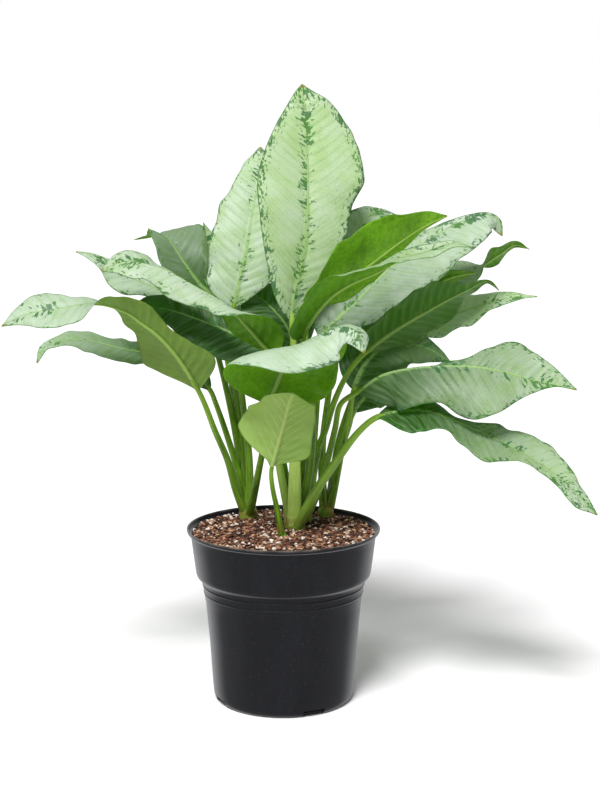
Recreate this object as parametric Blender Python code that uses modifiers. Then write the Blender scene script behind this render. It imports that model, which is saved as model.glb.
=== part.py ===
"""A potted chinese evergreen: a nursery pot, its soil, the shoots with their leaf stalks, and the blades.

Lengths are in metres, apart from the leaf table, which is in centimetres. The origin is the middle of the
pot's flat bottom, +Z is up, and the front of the plant faces -Y.
"""

from math import asin, cos, pi, radians, sin
from typing import NamedTuple

import bmesh
import bpy
import numpy as np
from mathutils import Vector

CM = 0.01
GAP = 0.0003

# Pot
POT_SIDES = 40
POT_FLOOR = 0.003
POT_WALL = 0.0019
OUTER_WALL = [
    (0.1196, 0.2172),
    (0.1200, 0.2150),
    (0.1192, 0.2124),
    (0.1152, 0.2108),
    (0.1138, 0.2000),
    (0.1090, 0.1620),
    (0.1076, 0.1575),
    (0.1030, 0.1540),
    (0.1012, 0.1500),
    (0.0969, 0.1225),
    (0.0922, 0.0705),
    (0.0888, 0.0180),
    (0.0878, 0.0070),
    (0.0862, 0.0025),
    (0.0830, 0.0000),
]
DRAIN_CUTS = 4
DRAIN_FIRST = radians(-64)
DRAIN_WIDTH = 0.029
DRAIN_HEIGHT = 0.0075
DRAIN_INNER = 0.0795

# Soil
SOIL_TOP = 0.2122
SOIL_EDGE_TOP = 0.2104

# Shoots: place of the cane, its radius and its top
CANE_BOTTOM = 0.160
CANE_SIDES = 16
STALK_START = 0.2135
STALK_STEPS = 8
SHOOTS = {
    "shoot_left": ((-0.046, 0.073), 0.0115, 0.227),
    "shoot_middle": ((0.014, 0.012), 0.0130, 0.230),
    "shoot_front_small": ((-0.001, -0.030), 0.0056, 0.218),
    "shoot_centre_back": ((0.026, 0.047), 0.0105, 0.225),
    "shoot_right_back": ((0.054, 0.076), 0.0105, 0.225),
}

# Blades
BLADE_THICKNESS = 0.0008
BLADE_ROWS = 14
BLADE_HEEL_HALF = 0.0025
BLADE_TIP_HALF = 0.0007
STALK_TO_BLADE = 0.0008
BLADE_HOLD = 0.2


class Leaf(NamedTuple):
    """One leaf. The points are x, y, z in centimetres, and the angles are in degrees."""

    shoot: str
    stalk: list
    rib: list
    faces: list
    half_width: float
    left: tuple = ((12, -25),)
    right: tuple = ((12, -25),)
    share: tuple = (1.0, 1.0)
    belly: object = 0.36
    point: object = 1.1
    heel: object = 0.62
    edges: tuple = ((), ())
    wave: float = 0.003
    waves: float = 3.0
    phase: float = 0.0
    columns: int = 2
    stalk_radius: tuple = (0.0055, 0.0032)


# stalk: points between cane and blade. rib: midrib from heel to tip. faces: where the upper side looks.
# left and right: fold at the midrib and curl out to the margin, from heel to tip. share: width of each half.
# belly: how far along the blade is widest. point and heel: how fast it narrows to the tip and to the heel.
# These three are one number, or a pair for the left and right halves.
# edges: where the outline is drawn instead, the widths of the left and right halves, evenly from heel to tip.
LEAVES = {
    "leaf_tall_centre": Leaf(
        "shoot_middle",
        stalk=[(1.4, -0.7, 28.6), (1.5, -0.2, 37.5), (1.3, 0.2, 43.7)],
        rib=[(1.1, 0.2, 47.2), (1.3, 0.4, 49.8), (2.7, 2.0, 57.0), (2.9, 5.0, 64.2), (2.8, 7.2, 70.3),
             (2.3, 9.2, 75.9)],
        faces=[(0.25, -1, 0.3)],
        half_width=6.4, left=((14, -22),), right=((8, -18),), belly=0.52, point=0.85, heel=0.75,
        edges=((), (0.3, 2.5, 3.8, 4.6, 5.2, 5.9, 7.2, 6.9, 5.9, 3.9, 0.1)),
        stalk_radius=(0.0088, 0.0036),
    ),
    "leaf_tall_left": Leaf(
        "shoot_left",
        stalk=[(-4.5, 7.6, 28.6), (-5.2, 7.6, 35.7), (-6.1, 7.4, 44.1)],
        rib=[(-6.3, 7.2, 48.2), (-5.1, 8.4, 53.9), (-4.1, 10.7, 59.7), (-3.2, 13.2, 64.7),
             (-3.0, 15.2, 68.2)],
        faces=[(-0.1, -1, 0.3)],
        half_width=5.1, left=((8, -20),), right=((8, -20),), belly=0.42, point=0.85,
        edges=((0.3, 3.5, 4.4, 4.6, 4.7, 4.4, 4.3, 3.4, 2.7, 2.0, 0.2), ()),
    ),
    "leaf_back_left_curled": Leaf(
        "shoot_left",
        stalk=[(-5.3, 9.2, 26.9), (-6.5, 11.2, 35.8), (-7.9, 13.0, 43.4)],
        rib=[(-8.9, 14.0, 48.5), (-11.0, 14.2, 50.6), (-13.3, 14.6, 53.7), (-15.3, 15.8, 56.5),
             (-16.5, 17.6, 56.9), (-17.8, 18.6, 56.5), (-20.0, 19.0, 56.1)],
        faces=[(0, -1, 0.5), (0, -0.8, 0.6), (0.2, -0.3, 1), (0, 0.3, 1)],
        half_width=6.0, left=((20, -10),), right=((20, -10),), share=(0.6, 1.0),
    ),
    "leaf_back_left_folded": Leaf(
        "shoot_left",
        stalk=[(-5.6, 9.4, 32.2), (-7.0, 9.6, 42.5)],
        rib=[(-8.3, 10.6, 48.6), (-9.1, 11.4, 51.7), (-9.7, 12.4, 55.2), (-10.1, 13.0, 57.1),
             (-10.4, 13.6, 58.6)],
        faces=[(0.8, -0.65, 0.1)],
        half_width=3.6, left=((30, -10),), right=((30, -10),),
    ),
    "leaf_upper_left": Leaf(
        "shoot_middle",
        stalk=[(-0.3, 0.5, 28.1), (-1.0, 0.0, 32.6), (-1.2, -0.5, 40.1)],
        rib=[(-1.3, -0.8, 43.0), (-2.8, -1.2, 45.0), (-4.5, -1.5, 47.0), (-6.6, -1.5, 49.3),
             (-10.0, -1.2, 51.3), (-14.8, -0.8, 53.8), (-19.0, -0.4, 54.5), (-22.0, 0.0, 53.4)],
        faces=[(0.1, 1, 0.2), (0, 0.9, 0.5), (0, 0.1, 1), (0, -0.5, 0.85), (0, -0.6, 0.75), (0, -0.7, 0.7),
               (0, -0.5, 0.85)],
        half_width=5.0,
        left=((0, -20), (0, -20), (0, -60), (0, -100), (5, -70), (5, -40), (8, -20), (8, -10), (8, -10)),
        right=((10, -20), (0, -20), (-20, -20), (-40, -15), (-50, -15), (-40, -15), (-5, -20), (8, -20)),
        share=(1.0, 0.66), belly=0.72, point=0.62, columns=3,
        edges=((0.3, 3.2, 3.8, 3.6, 2.8, 2.9, 3.2, 2.7, 2.7, 2.0, 0.1), ()),
    ),
    "leaf_upper_left_rear": Leaf(
        "shoot_left",
        stalk=[(-5.9, 9.0, 29.7), (-7.4, 9.4, 37.4), (-9.1, 8.6, 44.6)],
        rib=[(-10.0, 8.2, 48.1), (-15.0, 7.8, 50.1), (-19.3, 7.4, 51.9), (-22.4, 7.2, 53.9),
             (-24.2, 6.8, 54.9), (-25.9, 6.4, 55.3)],
        faces=[(0, -0.5, 0.85)],
        half_width=4.4,
        edges=((0.3, 1.2, 1.8, 2.2, 2.4, 3.0, 3.4, 2.9, 2.0, 1.0, 0.1),
               (0.3, 1.8, 2.8, 3.4, 3.6, 3.0, 2.2, 1.5, 0.9, 0.4, 0.1)),
    ),
    "leaf_far_left": Leaf(
        "shoot_left",
        stalk=[(-6.1, 6.2, 24.9), (-7.1, 4.8, 29.1), (-8.6, 3.0, 33.3), (-9.7, 1.8, 36.7)],
        rib=[(-10.5, 1.0, 38.7), (-12.0, -0.2, 41.6), (-13.7, -1.3, 44.2), (-15.4, -2.1, 46.1),
             (-17.1, -2.7, 47.5), (-18.4, -3.3, 48.6), (-21.6, -4.2, 49.8), (-26.3, -5.0, 49.3),
             (-30.3, -5.4, 48.6), (-33.1, -5.6, 47.3)],
        faces=[(0.35, 0.85, 0.35), (0.3, 0.85, 0.5), (0.25, 0.75, 0.65), (0.15, 0.4, 0.9), (0, 0.1, 1),
               (0, -0.65, 0.75), (0, -0.8, 0.6), (0, -0.6, 0.8)],
        half_width=4.8, left=((12, -25), (20, 10), (30, 50), (25, 30), (12, -25), (12, -25), (12, -25)),
        columns=3,
        edges=((0.3, 3.8, 2.6, 1.7, 2.3, 2.3, 3.4, 3.0, 2.8, 1.5, 0.1),
               (0.3, 3.0, 5.0, 4.3, 3.1, 2.0, 2.3, 1.6, 2.8, 1.7, 0.1)),
    ),
    "leaf_lower_left": Leaf(
        "shoot_left",
        stalk=[(-5.7, 7.6, 26.2), (-7.3, 7.6, 31.8), (-8.7, 7.4, 36.0)],
        rib=[(-9.4, 7.0, 37.8), (-11.8, 6.2, 40.4), (-15.5, 5.4, 42.2), (-20.4, 4.6, 43.4),
             (-24.7, 4.0, 44.5), (-27.7, 3.6, 44.4), (-29.6, 3.4, 43.7), (-30.6, 3.2, 41.7)],
        faces=[(0, -0.42, 0.9)],
        half_width=3.4,
        edges=((0.3, 2.2, 2.9, 3.2, 3.3, 3.2, 2.8, 2.8, 1.6, 0.8, 0.1),
               (0.3, 2.5, 3.1, 3.3, 3.1, 2.4, 1.4, 2.0, 1.9, 0.9, 0.1)),
    ),
    "leaf_inner_left": Leaf(
        "shoot_middle",
        stalk=[(0.1, 1.8, 28.5), (-0.8, 1.8, 33.5), (-1.4, 2.0, 39.8)],
        rib=[(-1.6, 2.2, 42.6), (-5.3, 2.6, 45.0), (-9.6, 2.9, 46.8), (-14.5, 3.1, 48.4),
             (-18.8, 3.2, 48.7)],
        faces=[(0, -0.75, 0.65)],
        half_width=4.2,
        edges=((0.3, 2.2, 3.4, 4.1, 4.4, 4.1, 3.4, 2.6, 1.7, 1.4, 0.2),
               (0.3, 1.8, 2.4, 2.9, 3.1, 3.0, 2.7, 2.5, 2.2, 1.6, 0.2)),
    ),
    "leaf_inner_back": Leaf(
        "shoot_centre_back",
        stalk=[(1.8, 5.2, 31.6), (1.8, 6.6, 40.4)],
        rib=[(1.5, 7.0, 42.9), (0.2, 7.8, 46.0), (-2.0, 9.0, 48.4), (-4.4, 10.6, 49.9), (-6.3, 12.0, 50.5)],
        faces=[(0.3, -0.8, 0.6)],
        half_width=4.8,
    ),
    "leaf_back_right_arched": Leaf(
        "shoot_right_back",
        stalk=[(4.9, 7.8, 29.8), (5.9, 7.8, 38.9)],
        rib=[(6.6, 8.0, 46.6), (7.7, 8.6, 52.1), (9.4, 10.0, 56.9), (10.7, 11.6, 59.4),
             (12.9, 13.6, 60.1), (15.1, 15.2, 59.3)],
        faces=[(0, -1, 0.6), (0, -0.8, 0.8), (0, -0.2, 1)],
        half_width=3.8,
    ),
    "leaf_upper_right_rear": Leaf(
        "shoot_centre_back",
        stalk=[(2.4, 3.2, 28.1), (2.9, 1.8, 34.8), (2.8, 0.0, 43.8)],
        rib=[(3.1, -0.6, 48.2), (6.8, -1.4, 51.5), (10.8, -1.9, 54.6), (14.2, -2.2, 57.2),
             (16.8, -2.4, 58.9), (19.5, -2.6, 60.1)],
        faces=[(-0.4, 0.8, 0.4)],
        half_width=5.4,
        edges=((0.3, 1.5, 2.2, 2.6, 2.6, 2.4, 1.9, 1.3, 0.8, 0.4, 0.1),
               (0.3, 2.3, 3.1, 4.2, 5.2, 5.4, 5.0, 4.3, 3.3, 1.8, 0.1)),
    ),
    "leaf_upper_right_front": Leaf(
        "shoot_middle",
        stalk=[(3.2, 0.4, 28.7), (3.6, -1.4, 35.3), (3.0, -3.4, 42.4)],
        rib=[(2.4, -4.2, 45.7), (3.6, -4.6, 48.2), (5.6, -4.9, 50.6), (7.9, -5.1, 52.2),
             (10.8, -5.3, 53.5), (13.8, -5.4, 55.1), (17.2, -5.5, 56.2), (19.8, -5.6, 57.0),
             (22.1, -5.7, 56.6)],
        faces=[(-0.4, 0.8, 0.5), (-0.3, 0.8, 0.6), (-0.25, 0.6, 0.8), (-0.1, 0.1, 1), (0, -0.3, 1)],
        half_width=4.6, left=((60, 0),), right=((0, -50),), share=(0.4, 1.0), heel=0.42, belly=0.3,
        point=1.0, wave=0.002, columns=3,
    ),
    "leaf_silver_right": Leaf(
        "shoot_centre_back",
        stalk=[(3.6, 3.8, 29.3), (4.1, 3.4, 35.8), (4.5, 3.0, 42.4)],
        rib=[(4.7, 3.0, 44.9), (6.8, 3.3, 47.3), (9.1, 3.8, 49.4), (11.3, 4.4, 51.6), (14.1, 5.0, 54.0),
             (18.2, 5.8, 57.0), (22.6, 6.6, 59.2), (25.5, 7.2, 59.9), (27.0, 7.6, 59.1), (27.4, 7.8, 57.2)],
        faces=[(-0.2, -0.75, 0.6)],
        half_width=5.8, left=((10, -20),), right=((10, -20),), belly=0.5, point=0.75,
        edges=((0.3, 3.5, 3.9, 3.2, 2.1, 1.7, 1.5, 1.0, 0.6, 0.3, 0.1), ()),
    ),
    "leaf_mid_right": Leaf(
        "shoot_centre_back",
        stalk=[(4.3, 3.8, 30.6), (5.2, 3.4, 33.2), (6.4, 2.6, 37.2), (8.2, 1.6, 41.1)],
        rib=[(10.0, 1.0, 43.3), (13.0, 0.2, 45.8), (17.8, -0.6, 48.8), (21.9, -1.2, 51.1),
             (24.5, -1.6, 52.3), (25.9, -1.8, 51.2)],
        faces=[(-0.3, 0.75, 0.55), (-0.3, 0.75, 0.55), (-0.1, 0.3, 1)],
        half_width=4.2,
        edges=((), (0.3, 2.5, 3.0, 3.3, 3.7, 4.3, 4.3, 3.1, 1.7, 0.6, 0.1)),
    ),
    "leaf_rear_right_short": Leaf(
        "shoot_right_back",
        stalk=[(7.5, 9.8, 32.1), (12.1, 12.0, 43.1), (14.7, 10.4, 47.2)],
        rib=[(16.6, 8.0, 49.1), (19.6, 6.8, 51.5), (22.0, 6.3, 52.4), (24.0, 6.0, 52.7)],
        faces=[(-0.2, 0.8, 0.5)],
        half_width=1.7,
    ),
    "leaf_rear_right_twisted": Leaf(
        "shoot_right_back",
        stalk=[(7.9, 10.2, 32.1), (13.0, 12.6, 44.3), (16.3, 11.8, 48.0)],
        rib=[(18.7, 10.3, 49.6), (21.8, 9.5, 51.5), (24.9, 9.5, 53.2), (27.4, 9.7, 54.8),
             (29.3, 9.9, 56.0), (31.2, 9.9, 55.4)],
        faces=[(0, -0.6, 0.8), (0, -0.6, 0.8), (0, 0.6, 0.8), (0, 0.6, 0.8)],
        half_width=2.6,
    ),
    "leaf_right_pointed": Leaf(
        "shoot_right_back",
        stalk=[(6.7, 8.8, 27.0), (8.0, 10.0, 32.2), (12.4, 12.0, 39.9)],
        rib=[(17.0, 12.4, 44.1), (20.2, 12.2, 46.1), (24.0, 12.0, 47.6), (28.5, 11.8, 48.9),
             (30.3, 11.7, 49.2), (32.6, 11.6, 49.2)],
        faces=[(0, -0.5, 0.85)],
        half_width=3.6,
        edges=((0.3, 2.0, 3.0, 3.4, 3.4, 3.0, 2.4, 1.7, 1.1, 0.6, 0.1),
               (0.3, 2.2, 3.3, 3.6, 3.3, 2.7, 2.0, 1.4, 0.9, 0.5, 0.1)),
    ),
    "leaf_inner_right": Leaf(
        "shoot_right_back",
        stalk=[(6.4, 7.6, 24.6), (7.4, 6.8, 30.0), (8.4, 5.6, 35.4)],
        rib=[(8.8, 5.0, 38.1), (10.1, 5.2, 41.1), (12.1, 5.8, 43.0), (15.3, 6.4, 43.7), (18.4, 6.2, 43.0),
             (21.0, 5.6, 41.5)],
        faces=[(0.1, -0.7, 0.7), (0, -0.6, 0.8)],
        half_width=4.4, belly=0.45, point=0.9,
        edges=((0.3, 2.2, 3.6, 4.2, 4.2, 3.8, 3.1, 2.2, 1.4, 0.8, 0.1), ()),
    ),
    "leaf_big_right": Leaf(
        "shoot_middle",
        stalk=[(3.5, 0.0, 24.4), (5.1, -0.5, 29.0), (6.3, -1.2, 34.1), (7.0, -1.8, 37.4)],
        rib=[(8.9, -2.2, 38.9), (11.7, -2.8, 41.0), (15.2, -3.4, 42.0), (20.5, -4.2, 42.4),
             (25.2, -5.0, 42.0), (29.9, -5.6, 40.8), (32.8, -5.8, 40.2), (34.8, -6.0, 39.8)],
        faces=[(0, -0.85, 0.6)],
        half_width=6.0, left=((-90, 0), (-90, 0), (-80, 0), (0, 0), (0, -8), (0, -8), (0, -8)), wave=0.006,
        waves=2.5, phase=1.0, columns=3,
        edges=((0.3, 2.2, 2.8, 2.4, 1.2, 1.0, 3.2, 4.6, 3.5, 2.2, 0.1),
               (0.3, 4.2, 5.5, 5.4, 5.1, 6.4, 7.0, 5.8, 2.2, 0.3, 0.1)),
    ),
    "leaf_low_right": Leaf(
        "shoot_middle",
        stalk=[(3.3, -1.2, 25.3), (5.7, -2.2, 29.3), (9.3, -3.6, 34.5)],
        rib=[(11.3, -4.2, 36.2), (14.0, -4.8, 37.0), (17.5, -5.4, 37.0), (22.8, -6.4, 35.0),
             (28.1, -7.4, 32.6), (32.7, -8.2, 29.6), (37.1, -9.0, 25.3)],
        faces=[(0, -0.4, 0.9), (0, -0.4, 0.9), (0.3, -0.6, 0.8)],
        half_width=4.0, columns=3, stalk_radius=(0.0075, 0.0038),
        edges=((0.3, 2.3, 2.6, 1.0, 1.4, 3.0, 3.8, 3.7, 2.4, 1.5, 0.1),
               (0.3, 4.1, 4.4, 3.1, 4.0, 4.8, 2.3, 1.5, 1.4, 2.0, 0.1)),
    ),
    "leaf_young_front": Leaf(
        "shoot_front_small",
        stalk=[(-0.7, -4.2, 24.8), (-1.2, -5.0, 27.4), (-1.4, -5.5, 29.4)],
        rib=[(-1.3, -5.8, 30.5), (-0.4, -6.8, 33.9), (0.3, -8.0, 36.7), (0.8, -9.5, 38.8),
             (1.3, -11.2, 40.2)],
        faces=[(0, 1, 0.1)],
        half_width=4.6, wave=0.005, waves=1.4, phase=2.0, columns=3, stalk_radius=(0.0040, 0.0026),
        edges=((0.3, 2.8, 3.9, 3.9, 3.8, 3.7, 3.6, 3.3, 3.1, 2.6, 0.1),
               (0.3, 0.8, 2.1, 3.6, 4.6, 5.2, 5.1, 4.9, 4.7, 4.6, 4.5, 3.4, 3.0, 2.4, 1.4, 0.1)),
    ),
    "leaf_front_folded": Leaf(
        "shoot_left",
        stalk=[(-3.2, 2.0, 27.8), (-2.3, -1.5, 32.9)],
        rib=[(-1.7, -3.5, 37.6), (-0.8, -4.5, 40.0), (0.3, -5.8, 42.8), (1.8, -7.0, 45.0), (4.4, -8.4, 46.7),
             (7.2, -9.8, 47.7), (8.7, -10.8, 47.1), (9.4, -11.6, 44.9)],
        faces=[(0, 1, 0.1), (0, 0.9, 0.5), (0, 0.1, 1), (0.1, -0.5, 0.85), (0.3, -0.6, 0.75)],
        half_width=7.2, left=((0, -30), (0, -50), (-20, -40), (-20, -20)),
        right=((5, -30), (8, -60), (5, -95), (-5, -90), (-20, -60), (-25, -35), (-25, -20)), columns=3,
        edges=((0.3, 4.6, 6.0, 6.5, 6.6, 6.4, 5.8, 4.6, 3.4, 2.0, 0.1),
               (0.3, 5.4, 7.7, 8.6, 8.2, 6.4, 5.6, 4.5, 3.3, 2.0, 0.1)),
    ),
    "leaf_back_low_left": Leaf(
        "shoot_left",
        stalk=[(-5.0, 9.5, 28.0), (-6.2, 12.5, 36.5), (-7.0, 15.0, 41.5)],
        rib=[(-7.5, 16.5, 44.0), (-8.5, 20.0, 46.5), (-10.0, 24.0, 47.5), (-11.0, 27.5, 46.0),
             (-11.5, 30.0, 43.0)],
        faces=[(-0.2, -0.4, 1), (-0.2, 0.2, 1)],
        half_width=5.0,
    ),
    "leaf_back_centre": Leaf(
        "shoot_centre_back",
        stalk=[(2.5, 7.5, 32.0), (2.5, 10.5, 42.0), (2.0, 12.5, 48.0)],
        rib=[(1.8, 13.5, 50.5), (1.0, 17.0, 54.5), (0.0, 21.5, 57.0), (-1.0, 26.0, 56.5), (-1.5, 30.0, 53.0)],
        faces=[(0, -0.6, 1), (0, 0.3, 1)],
        half_width=5.0,
    ),
    "leaf_back_low_right": Leaf(
        "shoot_right_back",
        stalk=[(7.0, 8.3, 28.5), (8.3, 8.4, 32.6)],
        rib=[(8.9, 8.4, 34.6), (10.6, 8.4, 36.8), (13.4, 8.8, 38.0), (17.0, 9.6, 38.4), (20.5, 11.2, 37.6),
             (23.0, 13.0, 36.0)],
        faces=[(0.1, -0.8, 0.6), (0.1, -0.5, 1), (0.2, -0.2, 1)],
        half_width=3.2, share=(0.65, 1.0),
    ),
}

# Colours: base colour, roughness
PLASTIC = ((0.022, 0.023, 0.027), 0.45)
SOIL = ((0.120, 0.055, 0.035), 0.95)
STALK_GREEN = ((0.130, 0.270, 0.040), 0.45)
LEAF_GREEN = ((0.420, 0.620, 0.340), 0.42)


def clear_scene():
    for thing in list(bpy.data.objects):
        bpy.data.objects.remove(thing, do_unlink=True)


def new_collection(name):
    group = bpy.data.collections.new(name)
    bpy.context.scene.collection.children.link(group)
    return group


def put_in(thing, group):
    for old in list(thing.users_collection):
        old.objects.unlink(thing)
    group.objects.link(thing)


def give_material(thing, look):
    colour, roughness = look
    material = bpy.data.materials.new(thing.name)
    material.use_nodes = True
    shader = material.node_tree.nodes["Principled BSDF"]
    shader.inputs["Base Color"].default_value = (*colour, 1)
    shader.inputs["Roughness"].default_value = roughness
    shader.inputs["Metallic"].default_value = 0.0
    thing.data.materials.clear()
    thing.data.materials.append(material)


def settle(thing):
    """Replace an object's mesh by what its modifiers make of it."""
    graph = bpy.context.evaluated_depsgraph_get()
    mesh = bpy.data.meshes.new_from_object(thing.evaluated_get(graph))
    thing.modifiers.clear()
    thing.data = mesh


def turned(name, profile, sides, group):
    """A solid turned about Z from a profile that starts and ends on the axis."""
    mesh = bpy.data.meshes.new(name)
    points = [(r, 0, z) for r, z in profile]
    mesh.from_pydata(points, [(i, i + 1) for i in range(len(points) - 1)], [])
    thing = bpy.data.objects.new(name, mesh)
    group.objects.link(thing)
    screw = thing.modifiers.new("turn", "SCREW")
    screw.steps = sides
    screw.render_steps = sides
    screw.use_merge_vertices = True
    screw.merge_threshold = 0.00005
    return thing


def cut(thing, cutters, name):
    boolean = thing.modifiers.new(name, "BOOLEAN")
    boolean.operation = "DIFFERENCE"
    boolean.operand_type = "COLLECTION"
    boolean.collection = cutters
    boolean.solver = "EXACT"


def as_cutter(thing, group):
    put_in(thing, group)
    thing.hide_render = True
    thing.display_type = "WIRE"


def shade(thing, angle=35):
    thing.data.shade_smooth()
    thing.data.set_sharp_from_angle(angle=radians(angle))


# Pot and soil

def inner_wall():
    """The inside of the pot's wall from the lip down to the floor."""
    inside = [(r - POT_WALL, z) for r, z in OUTER_WALL if 0.0180 <= z < 0.2124]
    return inside + [(OUTER_WALL[-3][0] - POT_WALL - 0.0012, POT_FLOOR)]


def make_pot(group, cutters):
    lip = [(0.1168, 0.2124), (0.1174, 0.2166)]
    profile = [(0, POT_FLOOR)] + inner_wall()[::-1] + lip + OUTER_WALL + [(0, 0)]
    pot = turned("pot", profile, POT_SIDES, group)
    for k in range(DRAIN_CUTS):
        angle = DRAIN_FIRST + 2 * pi * k / DRAIN_CUTS
        reach = 0.1 - DRAIN_INNER
        middle = DRAIN_INNER + reach / 2
        bpy.ops.mesh.primitive_cube_add(size=1, location=(middle * sin(angle), -middle * cos(angle), 0))
        box = bpy.context.object
        box.name = f"drain_cut_{k + 1}"
        box.scale = (DRAIN_WIDTH, reach, DRAIN_HEIGHT * 2)
        box.rotation_euler.z = angle
        as_cutter(box, cutters)
    cut(pot, cutters, "drains")
    settle(pot)
    shade(pot)
    give_material(pot, PLASTIC)


def make_soil(group, cutters):
    wall = [(r - GAP, z) for r, z in inner_wall() if z < SOIL_EDGE_TOP]
    top = inner_wall()[0]
    below = wall[0]
    share = (SOIL_EDGE_TOP - below[1]) / (top[1] - below[1])
    edge = below[0] + (top[0] - GAP - below[0]) * share
    wall[-1] = (wall[-1][0], POT_FLOOR + GAP)
    surface = [(0, SOIL_TOP), (0.03, SOIL_TOP - 0.0002), (0.07, SOIL_TOP - 0.0008), (edge, SOIL_EDGE_TOP)]
    soil = turned("soil", surface + wall + [(0, POT_FLOOR + GAP)], POT_SIDES, group)
    for name, ((x, y), radius, _) in SHOOTS.items():
        hole = radius + GAP / cos(pi / CANE_SIDES)
        bottom = CANE_BOTTOM - GAP
        bpy.ops.mesh.primitive_cylinder_add(
            vertices=CANE_SIDES, radius=hole, depth=0.1, location=(x, y, bottom + 0.05))
        hole_cutter = bpy.context.object
        hole_cutter.name = name + "_hole"
        as_cutter(hole_cutter, cutters)
    cut(soil, cutters, "holes")
    settle(soil)
    give_material(soil, SOIL)


# Curves of a leaf

def smooth_path(points, steps=24):
    """A smooth curve through points. Returns its polyline, and where each given point lies on it."""
    p = np.array(points, float)
    p = np.vstack([2 * p[0] - p[1], p, 2 * p[-1] - p[-2]])
    gaps = np.sqrt(np.linalg.norm(np.diff(p, axis=0), axis=1))
    t = np.concatenate([[0], np.cumsum(gaps)])

    def blend(a, b, t0, t1, u):
        return (t1 - u) / (t1 - t0) * a + (u - t0) / (t1 - t0) * b

    line = [p[1]]
    marks = [0]
    for i in range(1, len(p) - 2):
        for u in np.linspace(t[i], t[i + 1], steps + 1)[1:]:
            a = blend(p[i - 1], p[i], t[i - 1], t[i], u)
            b = blend(p[i], p[i + 1], t[i], t[i + 1], u)
            c = blend(p[i + 1], p[i + 2], t[i + 1], t[i + 2], u)
            d = blend(a, b, t[i - 1], t[i + 1], u)
            e = blend(b, c, t[i], t[i + 2], u)
            line.append(blend(d, e, t[i], t[i + 1], u))
        marks.append(len(line) - 1)
    return np.array(line), marks


def points_along(line, fractions):
    length = np.concatenate([[0], np.cumsum(np.linalg.norm(np.diff(line, axis=0), axis=1))])
    at = np.asarray(fractions) * length[-1]
    return np.stack([np.interp(at, length, line[:, k]) for k in range(3)], axis=1)


def spread(values, s):
    """Rows of values given evenly from heel to tip, read at the fractions s."""
    values = np.array(values, float)
    at = np.linspace(0, 1, len(values))
    return np.stack([np.interp(s, at, values[:, k]) for k in range(values.shape[1])], axis=1)


def unit(vectors):
    return vectors / np.linalg.norm(vectors, axis=-1, keepdims=True)


def leaf_line(leaf):
    """The leaf's curve from the cane to the tip, and the index on it where the blade begins."""
    (x, y), radius, _ = SHOOTS[leaf.shoot]
    first = np.array(leaf.stalk[0]) * CM
    lean = first[:2] - (x, y)
    lean = lean / max(np.linalg.norm(lean), 1e-6) * radius * 0.3
    start = (x + lean[0], y + lean[1], STALK_START)
    line, marks = smooth_path([start] + [np.array(p) * CM for p in leaf.stalk + leaf.rib])
    return line, marks[1 + len(leaf.stalk)]


def half_widths(leaf, s, half):
    """The width of half a blade (0 left, 1 right) along s from heel to tip."""
    drawn = leaf.edges[half]
    if drawn:
        line, _ = smooth_path([(f, width * CM) for f, width in zip(np.linspace(0, 1, len(drawn)), drawn)])
        width = np.interp(s, line[:, 0], line[:, 1])
    else:
        belly, point, heel = (np.broadcast_to(v, 2)[half] for v in (leaf.belly, leaf.point, leaf.heel))
        rise = np.clip(s / belly, 0, 1)
        fall = np.clip((s - belly) / (1 - belly), 0, 1)
        width = np.sin(pi / 2 * rise) ** heel * np.cos(pi / 2 * fall) ** point
        width = leaf.half_width * CM * leaf.share[half] * width
    width = np.maximum(width, BLADE_TIP_HALF)
    width[0] = BLADE_HEEL_HALF
    return width


def blade_surface(leaf, rows, columns):
    """Points of the blade's middle surface, as rows from heel to tip and columns from left to right."""
    line, heel = leaf_line(leaf)
    stalk_end = np.diff(points_along(line[:heel + 1], [1 - 1 / STALK_STEPS, 1]), axis=0)
    line = line[heel:]
    length = np.linalg.norm(np.diff(line, axis=0), axis=1).sum()
    even = np.linspace(0, 1, rows + 1)
    s = even - 0.05 * np.sin(2 * pi * even)
    s = STALK_TO_BLADE / length + (1 - STALK_TO_BLADE / length) * s
    middle = points_along(line, s)
    along = unit(points_along(line, np.clip(s + 0.01, 0, 1)) - points_along(line, np.clip(s - 0.01, 0, 1)))
    # Near the heel the blade keeps the direction of its stalk, so that its sides stay in front of the stalk
    hold = np.clip(1 - s / BLADE_HOLD, 0, 1)[:, None]
    along = unit(hold * unit(stalk_end) + (1 - hold) * along)
    look = spread(leaf.faces, s)
    up = unit(look - (look * along).sum(1, keepdims=True) * along)
    side = np.cross(along, up)
    surface = np.zeros((rows + 1, 2 * columns + 1, 3))
    for j, across in enumerate(np.linspace(-1, 1, 2 * columns + 1)):
        reach = abs(across)
        half = int(across > 0)
        wing = np.radians(spread(leaf.right if half else leaf.left, s))
        width = half_widths(leaf, s, half)
        u = (np.arange(12) + 0.5) / 12 * reach
        bend = wing[:, :1] + wing[:, 1:] * u ** 1.5
        out = np.cos(bend).mean(axis=1) * reach * width * np.sign(across)
        rise = np.sin(bend).mean(axis=1) * reach * width
        turn = 2 * pi * leaf.waves * s + leaf.phase + 2.1 * half
        rise = rise + leaf.wave * reach ** 2 * width / (leaf.half_width * CM) * np.sin(turn)
        surface[:, j] = middle + side * out[:, None] + up * rise[:, None]
    return surface


# Leaves and shoots

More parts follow.
